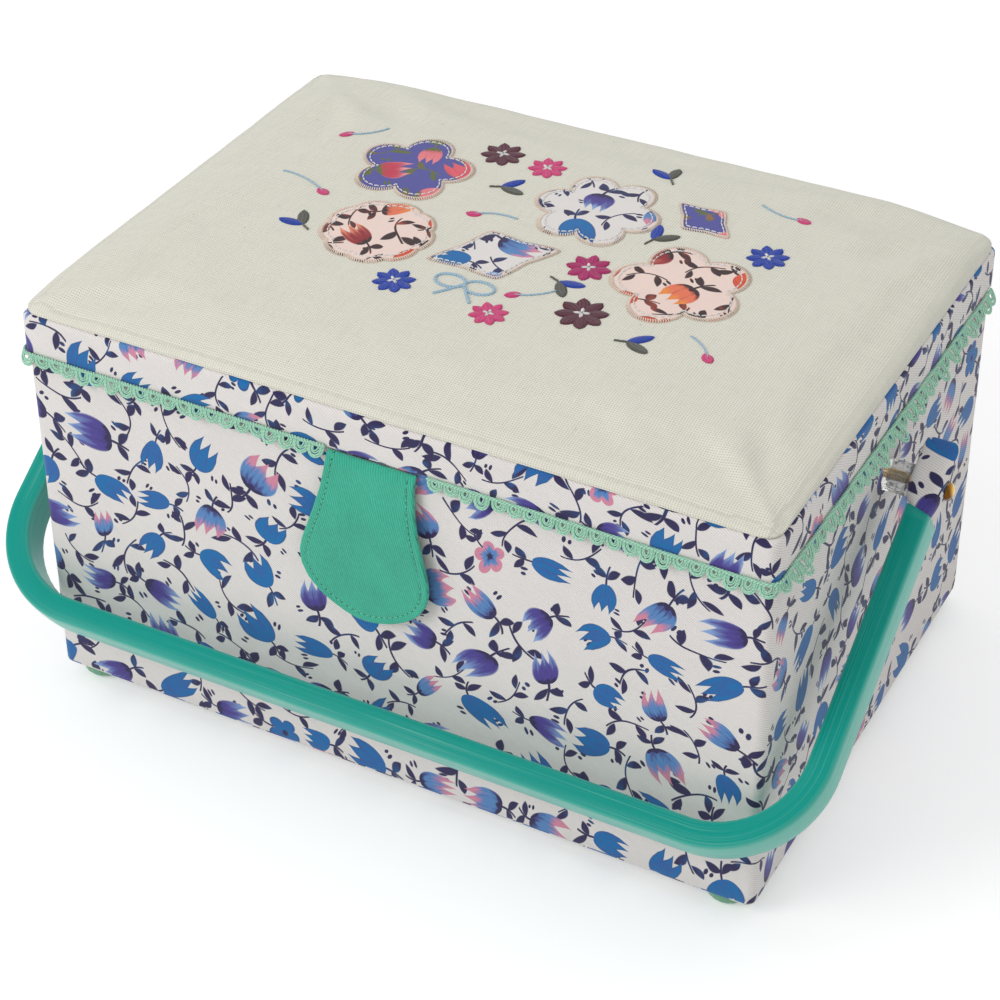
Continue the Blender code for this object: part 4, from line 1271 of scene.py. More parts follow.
# Pairs of stitched leaves: place and turn
LEAF_PAIRS = (
    ((-30, 42), 0.4), ((30, 78), 2.2), ((24, -12), -0.4), ((44, 32), 1.2), ((-88, -20), 2.6),
    ((66, -38), 0.2),
)


def build_patch(patch, ground, work):
    """One cloth patch with its corded edge and a running stitch inside it."""
    name, look, place, reach, turn, shape = patch
    cx, cy = lid_point(place)
    c, s = math.cos(turn), math.sin(turn)
    outline = []
    for t in np.arange(PATCH_SIDES) * 2 * math.pi / PATCH_SIDES:
        far = shape(t) * reach * MM
        outline.append((math.cos(t + turn) * far, math.sin(t + turn) * far))
    verts, uvs = [], []
    for share, rise in PATCH_LEVELS:
        for x, y in outline:
            wx, wy = cx + x * max(share, 0.02), cy + y * max(share, 0.02)
            puff = noise.noise(Vector((wx * 120, wy * 120, 1.0))) * 0.12
            verts.append((wx, wy, ground(wx, wy) + (rise + puff * share) * MM))
            uvs.append((wx * c - wy * s, wx * s + wy * c))
    faces, corners = skin_faces(len(PATCH_LEVELS), PATCH_SIDES, False, True)
    places = [uvs[i * PATCH_SIDES + j % PATCH_SIDES] for face in corners for i, j in face]
    for first in (0, (len(PATCH_LEVELS) - 1) * PATCH_SIDES):
        faces.append(tuple(range(first, first + PATCH_SIDES)))
        places += uvs[first:first + PATCH_SIDES]
    made = finished(name, mesh_of(name, verts, faces, places), look, "lid")
    flat = np.array(outline)

    def on_top(x, y, rise):
        return (cx + x, cy + y, ground(cx + x, cy + y) + rise * MM)

    def on_edge(x, y, lift):
        return on_top(x * lift[0], y * lift[0], lift[1])

    # Close stitches across the edge, and a running stitch inside it
    edge = np.vstack([flat, flat[:1]])
    across = [(0.9 * f, (far - (1 - f) * 1.2 / reach, rise)) for f, far, rise in EDGE_STITCH]
    count = int(lengths(edge)[-1] / EDGE_STEP)
    stitches_along(work, "edge_thread", edge, count, across, on_edge, FINE_THREAD)
    seam = edge * (1 - SEAM_INSET / reach)
    count = int(lengths(seam)[-1] / SEAM_STEP)
    stitches_along(work, "white_thread", seam, count, SEAM_STITCH, on_top, FINE_THREAD)


def satin_fill(work, colour, ground, centre, half_long, half_broad, turn, rise=0.4):
    """An oval filled with side-by-side stitches across its length. Sizes are in millimetres."""
    count = max(3, int(2 * half_long / SATIN_STEP))
    c, s = math.cos(turn), math.sin(turn)
    for k in range(count + 1):
        p = -half_long + 2 * half_long * k / count
        w = half_broad * math.sqrt(max(0.02, 1 - (p / half_long) ** 2))
        line = []
        for f in (-1, -0.6, 0, 0.6, 1):
            q = w * f * (1.0 + 0.05 * (k % 2))
            x = centre[0] + (p * c - q * s) * MM
            y = centre[1] + (p * s + q * c) * MM
            line.append((x, y, ground(x, y) + (rise * (1 - f * f) + 0.05) * MM))
        work.add(colour, line, [FINE_THREAD * k for k in (0.7, 1, 1, 1, 0.7)], flat=0.8)


def stem_stitches(work, colour, ground, points, thread=0.36):
    """A line of slightly overlapping stitches."""
    def raised(x, y, lift):
        return (x, y, ground(x, y) + (0.1 + 0.25 * lift) * MM)

    count = max(2, int(lengths(points)[-1] / (2.6 * MM)))
    stitches_along(work, colour, points, count, STEM_STITCH, raised, thread * MM)


def build_embroidery(pad):
    """The patches and stitched motifs on the canvas."""
    ground = ground_of(pad)
    work = ThreadWork()
    for patch in PATCHES:
        build_patch(patch, ground, work)
    for place, size, petal in SATIN_FLOWERS:
        x, y = lid_point(place)
        for k in range(8):
            turn = 2 * math.pi * k / 8 + place[0]
            centre = beside(x, y, turn, size * 0.52)
            satin_fill(work, petal, ground, centre, size * 0.45, size * 0.27, turn)
        for k in range(4):
            turn = math.pi / 2 * k + place[1]
            centre = beside(x, y, turn, size * 0.16)
            satin_fill(work, "white_thread", ground, centre, size * 0.13, size * 0.08, turn, rise=0.85)
    for start, end, bend in BUD_STEMS:
        a, b = np.array(lid_point(start)), np.array(lid_point(end))
        side = np.array([-(b - a)[1], (b - a)[0]])
        side /= np.linalg.norm(side)
        line = [a + (b - a) * t + side * bend * MM * 4 * t * (1 - t) for t in np.linspace(0, 1, 12)]
        stem_stitches(work, "pale_thread", ground, line)
        satin_fill(work, "pink_thread", ground, tuple(b), 3.0, 2.1, math.atan2(*(b - a)[::-1]))
    for place, turn in LEAF_PAIRS:
        x, y = lid_point(place)
        for way, colour in ((-1, "grey_thread"), (1, "royal_thread")):
            lean = turn + way * 0.55
            satin_fill(work, colour, ground, beside(x, y, lean, 5.4), 5.2, 2.3, lean)
        line = [beside(x, y, turn, -t) for t in (0, 2.5, 5)]
        stem_stitches(work, "grey_thread", ground, line, thread=0.45)
    # A bow of pale thread below the leaf patch
    bx, by = lid_point((-8, -30))
    for way in (-1, 1):
        loop = [(bx + way * (1 - math.cos(t)) * 6.4 * MM, by + math.sin(t) * 4.4 * MM)
                for t in np.linspace(0, 2 * math.pi, 26)]
        tail = [(bx + way * t * 8 * MM, by - (t * 13 - 2 * t * t) * MM) for t in np.linspace(0, 1, 10)]
        for line in (loop, tail):
            stem_stitches(work, "pale_thread", ground, line, thread=0.6)
    work.pieces("embroidery", "lid")


def trim_line():
    """The line of the braid on the right, from beside the tab to the back, with outward directions."""
    half, front = LID_HIGH.x, LID_LOW.y
    points = [(x, front, 0.0, -1.0) for x in np.arange(BRAID_START, half - CORNER, BRAID_STEP)]
    for k in range(13):
        turn = math.pi / 2 * k / 12
        points.append((half - CORNER + CORNER * math.sin(turn), front + CORNER - CORNER * math.cos(turn),
                       math.sin(turn), -math.cos(turn)))
    side = np.arange(front + CORNER + BRAID_STEP, BODY_HIGH.y - BRAID_SHORT, BRAID_STEP)
    return np.array(points + [(half, y, 1.0, 0.0) for y in side])


# The braid starts beside the tab and stops short of the back
BRAID_START = 22 * MM
BRAID_SHORT = 5 * MM
BRAID_STEP = 0.5 * MM
# The nested threads of one loop of the braid: half its breadth in millimetres, share of the drop
BRAID_LOOP = ((3.1, 1.0), (2.45, 0.84), (1.75, 0.67), (1.05, 0.5))


def build_braid(scene):
    """Looped braid: two plies wound round each other along the lid's edge, with nested loops below."""
    braid = scene.sewing_box_braid
    line = trim_line()
    gone = lengths(line[:, :2])
    total = gone[-1]
    count = round(total / braid.loop_pitch)
    pitch = total / count
    radius = braid.thread / 2
    top = LID_LOW.z + 0.9 * MM
    rng = random.Random(7)

    def at(s, out, z, side):
        s = min(max(s, 0.0), total)
        x, y, nx, ny = (np.interp(s, gone, line[:, k]) for k in range(4))
        return (side * (x + nx * out), y + ny * out, z)

    for name, side in (("right", 1), ("left", -1)):
        work = ThreadWork()
        for i in range(count):
            middle = (i + 0.5) * pitch + rng.uniform(-0.3, 0.3) * MM
            # Along the sides the loops are pushed out by the lid's rim
            side_run = np.interp(middle, gone, line[:, 2])
            swing = rng.uniform(0.05, 0.5) + rng.uniform(0.3, 0.7) * side_run
            drop_share = rng.uniform(0.86, 1.08)
            slant = rng.uniform(-0.7, 0.7) * MM
            for k, (half, drop) in enumerate(BRAID_LOOP):
                points = []
                for t in np.linspace(-0.1, math.pi + 0.1, 12):
                    dip = max(0.0, math.sin(t)) ** 0.6
                    fall = braid.loop_drop * drop * drop_share * dip
                    out = radius + 0.3 * MM + fall * swing + 0.3 * MM * (k % 2) + 0.25 * MM * math.cos(t)
                    s = middle + half * MM * math.cos(t) + slant * dip
                    points.append(at(s, out, top - fall, side))
                work.add("braid", points, radius * (1.0 - 0.08 * k), sides=6, up=(0.2, 0.3, 0.1))
        for ply in (0, 1):
            points = []
            for s in np.arange(0.0, total, BRAID_STEP):
                wind = 2 * math.pi * s / pitch * 2.5 + ply * math.pi
                points.append(at(s, radius + 0.5 * MM + 0.36 * MM * math.cos(wind),
                                 top + 0.1 * MM + 0.5 * MM * math.sin(wind), side))
            work.add("braid", points, radius * 1.05, sides=6)
        made = work.pieces("trim", "lid")["braid"]
        made.name = f"braid_{name}"
        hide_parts(f"trim_{name}")


def tab_half(share):
    """Half the tab's breadth at a share of its length."""
    return float(np.interp(share, [p[0] for p in TAB_SHAPE], [p[1] for p in TAB_SHAPE])) * MM


def tab_point(across, share, out):
    """A point of the tab, whose top meets the lid level: across, share of the way down, out."""
    t = min(1.0, share / 0.42)
    stand = 2.2 * MM * t * t * (3 - 2 * t)
    near = max(0.0, 1 - share / 0.07) ** 2
    top = (1.26 * MM + across * math.sin(TAB_LEAN)) / math.cos(TAB_LEAN)
    low = -0.3 * MM - TAB_LENGTH
    out = out * (1 - 0.45 * near) + 0.7 * MM - 1.34 * MM * near + stand
    local = Matrix.Rotation(TAB_LEAN, 3, "Y") @ Vector((across, -out, top + (low - top) * share))
    return local + TAB_TOP + Vector((0, 0, -1.46 * MM))


def build_tab(scene):
    """The twill tab: two layers with a rounded rim, and a row of stitches that sinks into it."""
    down = np.linspace(0, 1, TAB_ROWS) ** 0.9
    halves = np.array([tab_half(s) for s in down])
    kernel = np.array([1, 2, 3, 4, 3, 2, 1], float)
    ends = np.concatenate([np.full(3, halves[0]), halves, np.full(3, halves[-1])])
    smooth = np.convolve(ends, kernel / kernel.sum(), mode="valid")
    smooth[-4:] = halves[-4:]
    right = np.stack([smooth, down * TAB_LENGTH], axis=1)
    rim = np.vstack([right, right[::-1] * (-1, 1)])

    def from_rim(x, y):
        return float(np.min(np.hypot(rim[:, 0] - x, rim[:, 1] - y)))

    shares = np.sin(np.linspace(-1, 1, TAB_COLS) * math.pi / 2)
    front, back = np.zeros((TAB_ROWS, TAB_COLS, 3)), np.zeros((TAB_ROWS, TAB_COLS, 3))
    for i, s in enumerate(down):
        for j, c in enumerate(shares):
            x, y = c * smooth[i], s * TAB_LENGTH
            d = smooth[i] - abs(x) if y < TAB_SEAM else from_rim(x, y)
            edge = min(1.0, d / TAB_ROUND)
            half = TAB_THICK / 2 * (0.2 + 0.8 * math.sqrt(max(0.0, 1 - (1 - edge) ** 2)))
            seam = 0.24 * MM * math.exp(-((d - TAB_SEAM) / (0.5 * MM)) ** 2)
            belly = 0.16 * MM * noise.noise(Vector((x * 70, y * 70, 3.0)))
            front[i, j] = tab_point(x, s, TAB_THICK / 2 + half - seam + belly)
            back[i, j] = tab_point(x, s, TAB_THICK / 2 - half)
    mesh = slab_mesh("tab_cloth", front, back, lambda i, j: (shares[j] * smooth[i], -down[i] * TAB_LENGTH))
    made = finished("tab_cloth", mesh, "green_twill", "tab")
    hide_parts("closure_tab")

    # The stitches follow the rim, with a dark thread as painted shade in the needle hole between each two
    ahead = unit(np.gradient(rim, axis=0))
    inner = []
    for p, n in zip(rim, np.stack([-ahead[:, 1], ahead[:, 0]], axis=1)):
        q = p + n * TAB_SEAM
        if from_rim(*q) > TAB_SEAM - 0.25 * MM or q[1] < TAB_SEAM:
            inner.append(q)

    def on_tab(x, y, lift):
        return tab_point(x, y / TAB_LENGTH, TAB_THICK - 0.2 * MM + lift * MM)

    work = ThreadWork()
    count = int(lengths(inner)[-1] / scene.sewing_box_braid.stitch_pitch)
    for colour, thick, shape in TAB_STITCHES:
        stitches_along(work, colour, inner, count, shape, on_tab, thick * MM, sides=6)
    stitches = work.pieces("stitches", "tab")


def handle_frame(point):
    """A point of the handle's own plane, seen at rest."""
    return Matrix.Rotation(REST_SLANT, 3, "X") @ Vector(point) + PIVOT


def handle_line(start, bend_steps, run_steps):
    """Points and outward directions along the handle from the left arm round to the right."""
    half, reach, r = GRIP_HALF, ARM_REACH, GRIP_BEND
    points = []
    for t in np.linspace(0, 1, ARM_STEPS, endpoint=False):
        points.append((-half, -start - (reach - r - start) * t, -1.0, 0.0))
    for t in np.linspace(0, math.pi / 2, bend_steps):
        c, s = math.cos(t), math.sin(t)
        points.append((-half + r - r * c, -(reach - r) - r * s, -c, -s))
    mirrored = [(-x, y, -nx, ny) for x, y, nx, ny in reversed(points)]
    run = np.linspace(0, 1, run_steps + 2)[1:-1]
    points += [(-half + r + 2 * (half - r) * t, -reach, 0.0, -1.0) for t in run]
    return np.array(points + mirrored)


def rounded_section(low, high, half, radius, crown=0.0):
    """A closed section of (inward distance, height) with rounded corners and slightly crowned faces."""
    made = []
    spots = ((high - radius, half - radius, 0), (low + radius, half - radius, 90),
             (low + radius, -half + radius, 180), (high - radius, -half + radius, 270))
    for k, (cx, cz, start) in enumerate(spots):
        for step in range(SECTION_BEND + 1):
            turn = math.radians(start + 90 * step / SECTION_BEND)
            made.append((cx + radius * math.cos(turn), cz + radius * math.sin(turn)))
        ax, az = made[-1]
        bx, bz = spots[(k + 1) % 4][:2]
        way = math.radians(start + 90)
        bx, bz = bx + radius * math.cos(way), bz + radius * math.sin(way)
        for f in range(1, SECTION_FLAT + 1):
            t = f / (SECTION_FLAT + 1)
            out = crown * 4 * t * (1 - t)
            made.append((ax + (bx - ax) * t + math.cos(way) * out,
                         az + (bz - az) * t + math.sin(way) * out))
    return made


def build_sleeve():
    """The handle's plastic sleeve, with its open ends."""
    half = GRIP_BROAD / 2
    middle = GRIP_THICK / 2
    line = handle_line(GRIP_START, bend_steps=28, run_steps=60)
    gone = lengths(line[:, :2])
    outer = rounded_section(0.0, GRIP_THICK, half, 1.7 * MM, crown=0.25 * MM)
    inner = rounded_section(GRIP_WALL, GRIP_THICK - GRIP_WALL, half - GRIP_WALL, 0.6 * MM)
    count, cols = len(line), len(outer)
    verts = []
    for section in (outer, inner):
        for k, ((x, y, nx, ny), s) in enumerate(zip(line, gone)):
            bent = min(abs(nx), abs(ny)) > 0.02
            ripple = 0.06 * MM * bent * math.sin(s * 2 * math.pi / RIPPLE)
            # The cut ends lean: the inner corner reaches nearer to the pin
            lean = 1.4 * MM * max(0.0, 1 - min(k, count - 1 - k) / 2)
            for d, z in section:
                far = d + ripple * (d > middle)
                cut = lean * (d - middle) / middle
                verts.append(handle_frame((x - nx * far, y - ny * far + cut, z)))
    turn = [math.atan2(z / half, (d - middle) / middle) / (2 * math.pi) for d, z in outer]
    faces, corners = skin_faces(count, cols, False, True)
    places = []
    for (i, j), (_, k), (i2, _), _ in corners:
        a, b = turn[j % cols], turn[k % cols]
        if abs(b - a) > 0.5:
            b += 1.0 if b < a else -1.0
        places += [(gone[i], a), (gone[i], b), (gone[i2], b), (gone[i2], a)]
    shift = count * cols
    places += [(gone[i], 0.25) for face in corners for i, _ in face[::-1]]
    faces += [tuple(shift + n for n in face[::-1]) for face in faces]
    for row in (0, count - 1):
        for j in range(cols):
            a, b = row * cols + j, row * cols + (j + 1) % cols
            faces.append((a, b, shift + b, shift + a))
            places += [(gone[row], 0.25)] * 4
    grip = finished("handle_grip", mesh_of("handle_grip", verts, faces, places), "grip_plastic", "handle")
    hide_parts("handle_sleeve")


def build_strap():
    """The cloth-covered strap inside the sleeve, which flattens to two tips beyond the pins."""
    clear = GRIP_BROAD / 2 - STRAP_CLEAR
    inside = (STRAP_CLEAR, GRIP_THICK - STRAP_CLEAR, clear)
    stations = np.array(STRAP_END) * MM
    spread = np.linspace(0, 1, len(stations))
    reaches = np.interp(np.linspace(0, 1, 30) ** 0.8, spread, stations[:, 0])[::-1]
    ends = [tuple(np.interp(reach, stations[:, 0], stations[:, k]) for k in range(4)) for reach in reaches]
    path = [(-GRIP_HALF, reach, -1.0, 0.0, *shape) for reach, *shape in ends]
    path += [(*spot, *inside) for spot in handle_line(GRIP_START + 2 * MM, bend_steps=12, run_steps=16)]
    path += [(GRIP_HALF, reach, 1.0, 0.0, *shape) for reach, *shape in ends[::-1]]
    gone = lengths([p[:2] for p in path])
    rows = []
    for (x, y, nx, ny, low, high, broad), s in zip(path, gone):
        row = []
        for t in np.linspace(0, 2 * math.pi, STRAP_SIDES, endpoint=False):
            c, w = math.cos(t), math.sin(t)
            crease = 0.3 * MM * noise.noise(Vector((s * 110, c * 1.5, w * 1.5 + x * 9)))
            d = (low + high) / 2 + ((high - low) / 2 + crease) * math.copysign(abs(c) ** 0.55, c)
            z = (broad + crease * min(1.0, broad / (4 * MM))) * math.copysign(abs(w) ** 0.55, w)
            row.append(handle_frame((x - nx * d, y - ny * d, z)))
        rows.append(row)
    u = lengths(rows[len(rows) // 2], closed=True)
    strap = finished("strap_cloth", skin("strap_cloth", rows, u, gone, wrap_cols=True, caps=True),
                     "printed_cotton", "handle")
    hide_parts("handle_strap")


def build_linings():
    """The lining of the box and of the lid, the panel under the base and the cloth hinge."""
    low, high = (corner.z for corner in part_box("body_lining"))
    run = np.linspace(high - 2 * MM, low + 3 * MM, 20)
    line_inside("box_lining", "body_lining", "body", (low, high, low + CLOTH), run, 0.4,
                flat=(0.62, 0.52), held="stretched", rests_on=(*WALL_BOARDS, "base_board"), area=0.232)
    low, high = (corner.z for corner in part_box("lid_lining"))
    face = high - 2.5 * MM
    run = np.linspace(low + 1.5 * MM, face - 2 * MM, 5)
    line_inside("lid_inside_cloth", "lid_lining", "lid", (high, low, face), run, 0.3,
                flat=(0.33, 0.24), held="stretched", rests_on=(*LID_BOARDS, "lid_top_board"))

    low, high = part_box("bottom_panel")
    xs, ys = np.linspace(low.x, high.x, 40), np.linspace(low.y, high.y, 28)
    under = [[(x, y, low.z + slack(0.1, x * 50, y * 50, 1)) for x in xs] for y in ys]
    top = [[(x, y, high.z) for x in xs] for y in ys]
    mesh = slab_mesh("base_cloth", under, top, lambda i, j: (xs[j], ys[i]))
    sheet_piece("base_cloth", mesh, "lining_cloth", "body", ["bottom_panel"],
                flat=(high.x - low.x, high.y - low.y), held="stretched", rests_on=["base_board"])

    # One strip of cloth runs across the hinge
    low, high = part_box("hinge_cloth_body")
    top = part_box("hinge_cloth_lid")[1].z
    xs = np.linspace(low.x, high.x, 60)
    zs = np.concatenate([np.linspace(low.z, HINGE_LEVELS[0], 6), np.linspace(*HINGE_LEVELS[1:3], 9),
                         np.linspace(HINGE_LEVELS[3], top, 6)])
    outer = [[(x, high.y - slack(0.05, x * 90, z * 90, 2), z) for x in xs] for z in zs]
    inner = [[(x, low.y, z) for x in xs] for z in zs]
    mesh = slab_mesh("hinge_cloth", outer, inner, lambda i, j: (xs[j], zs[i]))
    made = finished("hinge_cloth", mesh, "printed_cotton", None)
    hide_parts("hinge_cloth_body", "hinge_cloth_lid")
    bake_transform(made)


def build_lid_inside():
    """The pin cushion and the gathered pocket inside the lid."""
    low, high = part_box("pincushion")
    cx, cy = (low.x + high.x) / 2, (low.y + high.y) / 2

    def cushion_loop(inset):
        bend = max(CUSHION_CORNER - inset, 1 * MM)
        return rounded_loop(high.x - low.x - 2 * inset, high.y - low.y - 2 * inset, bend, 20, 10)

    profile = np.array(CUSHION_SIDE) * MM
    rings = [[(cx + x, cy + y, high.z + fall) for x, y in cushion_loop(inset)]
             for inset, fall in profile]
    u = lengths(cushion_loop(0.0), closed=True)
    mesh = skin("pin_cushion", rings, u, lengths(profile), wrap_cols=True, caps=True)
    made = finished("pin_cushion", mesh, "green_twill", None)
    puffed(made, list(range(2 * len(rings[0]))), 2.0, 0.8 * MM)
    refine(made)
    padded_piece(made, ["pincushion"])

    low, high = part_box("lid_pocket")
    xs, ys = np.linspace(low.x, high.x, 120), np.linspace(low.y, high.y, 40)

    def pocket_depth(x, y):
        edges = [(x - low.x) / POCKET_EDGE, (high.x - x) / POCKET_EDGE, (high.y - y) / POCKET_EDGE]
        side = max(0.0, min(1.0, *edges))
        open_share = 1 - (y - low.y) / (high.y - low.y)
        gather = 0.9 * MM * math.sin((x - low.x) * 2 * math.pi / GATHER + 1.5 * math.sin(x * 90))
        belly = 4.6 * MM * side ** 0.6 * (0.45 + 0.55 * open_share)
        return 0.4 * MM + belly + gather * side * (0.25 + 0.75 * open_share)

    front = [[(x, y, high.z - pocket_depth(x, y) - CLOTH) for x in xs] for y in ys]
    back = [[(x, y, high.z - pocket_depth(x, y) + 0.1 * MM) for x in xs] for y in ys]
    mesh = slab_mesh("pocket_cloth", front, back, lambda i, j: (xs[j] * POCKET_FULLNESS, ys[i]))
    sheet_piece("pocket_cloth", mesh, "lining_cloth", "lid", ["lid_pocket"],
                flat=(0.19, 0.1), held="gathered", rests_on=["lid_inside_cloth"])


HARD_PARTS = {
    "board": (*WALL_BOARDS, *LID_BOARDS, "base_board", "lid_top_board", "panel_board"),
    "foot_plastic": ("foot_front_left", "foot_front_right", "foot_back_left", "foot_back_right"),
    "brass": ("pivot_pin_left", "pivot_pin_right"),
    "clear_plastic": ("spacer_left", "spacer_right"),
    "nickel": ("pin_washer_left", "pin_washer_right", "body_magnet", "tab_magnet"),
    "tray_plastic": ("tray",),
    "lining_cloth": ("tray_ledge_left", "tray_ledge_right"),
}


def dress_hard_parts():
    """Materials of the parts that are used as the frame has them."""
    for look, names in HARD_PARTS.items():
        for name in names:
            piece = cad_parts[name]
            piece.data.materials.clear()
            piece.data.materials.append(LOOKS[look])
    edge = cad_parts["tray"].modifiers.new("Soft edges", "BEVEL")
    edge.width = 0.5 * MM
    edge.segments = 2
    edge.limit_method = "ANGLE"
    edge.angle_limit = math.radians(40)


# The stage


def hidden_light(net, shaded, shown):
    """One strength where the camera, a reflection or clear plastic sees it, and another for lighting."""
    seen = {socket.name: Value(net, socket) for socket in net.node("ShaderNodeLightPath").outputs}
    mirrored = seen["Is Glossy Ray"] | seen["Is Transmission Ray"]
    return (seen["Is Camera Ray"] | mirrored).ramp(0.0, 1.0, shaded, shown, "LINEAR")


def placed(scene, name, data):
    """A new object of the scene."""
    made = bpy.data.objects.new(name, data)
    scene.collection.objects.link(made)
    return made


def build_floor(scene, stage):
    """A pale floor and light from all round."""
    mesh = bpy.data.meshes.new("floor")
    corners = [(-FLOOR, -FLOOR, 0), (FLOOR, -FLOOR, 0), (FLOOR, FLOOR, 0), (-FLOOR, FLOOR, 0)]
    mesh.from_pydata(corners, [], [(0, 1, 2, 3)])
    placed(scene, "floor", mesh)
    made, net, shader = new_material("pale_floor")
    set_shader(shader, Roughness=0.9, Specular_IOR_Level=0.1, Emission_Color=(1.0, 1.0, 1.0))
    tone = net.noise(own_place(net), 3.0, 2.0)
    net.join(net.mix(tone, (0.86, 0.86, 0.86), (0.88, 0.88, 0.88)), shader.inputs["Base Color"])
    net.join(hidden_light(net, 0.0, stage.floor_lift), shader.inputs["Emission Strength"])
    mesh.materials.append(made)

    world = bpy.data.worlds.new("studio")
    scene.world = world
    world.use_nodes = True
    net = Net(world.node_tree)
    back = world.node_tree.nodes["Background"]
    net.join(hidden_light(net, stage.room_light, 1.0), back.inputs["Strength"])
    back.inputs["Color"].default_value = (1.0, 1.0, 1.0, 1.0)


FLOOR = 6.0
# The camera: what it looks at, how far it stands aside and above, and the frame's own shift
SENSOR = 36.0
CAMERA_AIM = Vector((0.0, (BODY_LOW.y + BODY_HIGH.y) / 2, BODY_LOW.z + 90 * MM))
CAMERA_RIGHT = 8.7 * MM
CAMERA_UP = 22.2 * MM
FRAME_SHIFT = (-0.04, -0.10)
# The lamps: place and aim in metres, size, and share of the key light's power
LAMPS = (
    ("key_lamp", (-0.75, -1.3, 1.05), (0.0, 0.0, 0.1), 0.9, 1.0),
    ("top_lamp", (0.3, 0.5, 1.5), (0.0, 0.0, 0.1), 0.8, 0.16),
    ("handle_lamp", (-0.68, -0.6, 1.64), (0.0, -0.1, 0.1), 0.35, 0.1),
)


def build_stage(scene):
    """The floor, soft lamps and the camera."""
    stage = scene.sewing_box_stage
    build_floor(scene, stage)
    for name, place, aim, size, share in LAMPS:
        data = bpy.data.lights.new(name, "AREA")
        data.energy = stage.key_light * share
        data.shape = "DISK"
        data.size = size
        lamp = placed(scene, name, data)
        lamp.location = place
        lamp.rotation_mode = "QUATERNION"
        lamp.rotation_quaternion = (Vector(aim) - Vector(place)).to_track_quat("-Z", "Y")

    data = bpy.data.cameras.new("camera")
    data.lens = stage.lens
    data.sensor_width = SENSOR
    data.shift_x, data.shift_y = FRAME_SHIFT
    camera = placed(scene, "camera", data)
    a, e = stage.azimuth, stage.elevation
    back = Vector((math.sin(a) * math.cos(e), -math.cos(a) * math.cos(e), math.sin(e)))
    level = Vector((math.cos(a), math.sin(a), 0.0))
    right = Matrix.Rotation(stage.roll, 3, back) @ level
    up = back.cross(right)
    place = CAMERA_AIM + back * stage.distance + right * CAMERA_RIGHT + up * CAMERA_UP
    turn = Matrix((right, up, back)).transposed()
    camera.matrix_world = Matrix.Translation(place) @ turn.to_4x4()
    scene.camera = camera
    scene.view_settings.view_transform = "Standard"


# Operators


class SEWING_BOX_OT_looks(Operator):
    """Make the cloth, thread, plastic and metal materials"""

    bl_idname = "sewing_box.looks"
    bl_label = "Materials"

    def execute(self, context):
        make_looks(context.scene)
        return {"FINISHED"}


class SEWING_BOX_OT_covers(Operator):
    """Wrap the box and the lid in printed cotton"""

    bl_idname = "sewing_box.covers"
    bl_label = "Printed Covers"

    def execute(self, context):
        build_body_cloth()
        build_lid_cloth()
        return {"FINISHED"}


class SEWING_BOX_OT_pad(Operator):
    """Make the padded canvas with its patches and embroidery"""

    bl_idname = "sewing_box.pad"
    bl_label = "Padded Lid"

    def execute(self, context):
        build_embroidery(build_pad(context.scene))
        return {"FINISHED"}


class SEWING_BOX_OT_braid(Operator):
    """Lay the looped braid along the lid's lower edge"""

    bl_idname = "sewing_box.braid"
    bl_label = "Looped Braid"

    def execute(self, context):
        build_braid(context.scene)
        return {"FINISHED"}


class SEWING_BOX_OT_tab(Operator):
    """Make the stitched closure tab"""

    bl_idname = "sewing_box.tab"
    bl_label = "Closure Tab"

    def execute(self, context):
        build_tab(context.scene)
        return {"FINISHED"}


class SEWING_BOX_OT_handle(Operator):
    """Make the sleeve and the covered strap of the handle"""

    bl_idname = "sewing_box.handle"
    bl_label = "Handle"

    def execute(self, context):
        build_sleeve()
        build_strap()
        return {"FINISHED"}


class SEWING_BOX_OT_linings(Operator):
    """Line the box and the lid, with the hinge, pin cushion and pocket"""

    bl_idname = "sewing_box.linings"
    bl_label = "Linings"

    def execute(self, context):
        build_linings()
        build_lid_inside()
        return {"FINISHED"}


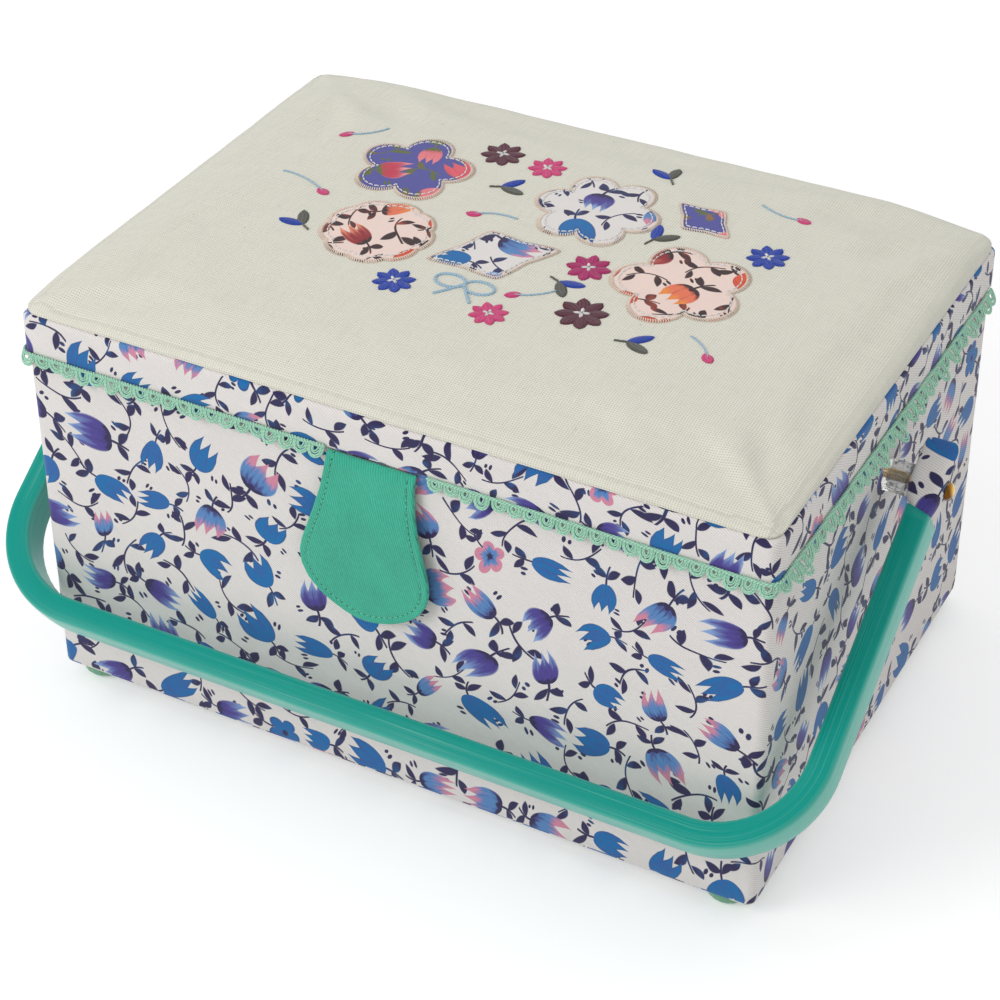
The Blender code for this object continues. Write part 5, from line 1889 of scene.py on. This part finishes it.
class SEWING_BOX_OT_hard_parts(Operator):
    """Finish the boards, feet, pins, spacers, magnets and tray"""

    bl_idname = "sewing_box.hard_parts"
    bl_label = "Hard Parts"

    def execute(self, context):
        dress_hard_parts()
        return {"FINISHED"}


class SEWING_BOX_OT_stage(Operator):
    """Add the floor, the lamps and the camera"""

    bl_idname = "sewing_box.stage"
    bl_label = "Stage"

    def execute(self, context):
        build_stage(context.scene)
        return {"FINISHED"}


class SEWING_BOX_PT_panel(Panel):
    """Lists the sewing box's pieces, sizes and colours"""

    bl_label = "Sewing Box"
    bl_space_type = "VIEW_3D"
    bl_region_type = "UI"
    bl_category = "Sewing Box"

    def draw(self, context):
        layout = self.layout
        for kind in STEPS:
            layout.operator(kind.bl_idname)
        for title, group in SETTINGS.items():
            box = layout.box()
            box.label(text=title)
            settings = getattr(context.scene, group[0])
            for key in group[1].__annotations__:
                box.prop(settings, key)


STEPS = (
    SEWING_BOX_OT_looks, SEWING_BOX_OT_covers, SEWING_BOX_OT_pad, SEWING_BOX_OT_braid, SEWING_BOX_OT_tab,
    SEWING_BOX_OT_handle, SEWING_BOX_OT_linings, SEWING_BOX_OT_hard_parts, SEWING_BOX_OT_stage,
)
SETTINGS = {
    "Cloth": ("sewing_box_cloth", SewingBoxCloth),
    "Braid": ("sewing_box_braid", SewingBoxBraid),
    "Plastics": ("sewing_box_plastics", SewingBoxPlastics),
    "Stage": ("sewing_box_stage", SewingBoxStage),
}


def register():
    """Register the settings, the operators and the panel."""
    for group, kind in SETTINGS.values():
        bpy.utils.register_class(kind)
        setattr(bpy.types.Scene, group, PointerProperty(type=kind))
    for kind in (*STEPS, SEWING_BOX_PT_panel):
        bpy.utils.register_class(kind)


def unregister():
    """Take them all out again."""
    for kind in (SEWING_BOX_PT_panel, *reversed(STEPS)):
        bpy.utils.unregister_class(kind)
    for group, kind in SETTINGS.values():
        delattr(bpy.types.Scene, group)
        bpy.utils.unregister_class(kind)


def main():
    """Build every piece in order."""
    register()
    for kind in STEPS:
        group, action = kind.bl_idname.split(".")
        getattr(getattr(bpy.ops, group), action)()


if __name__ == "__main__":
    main()
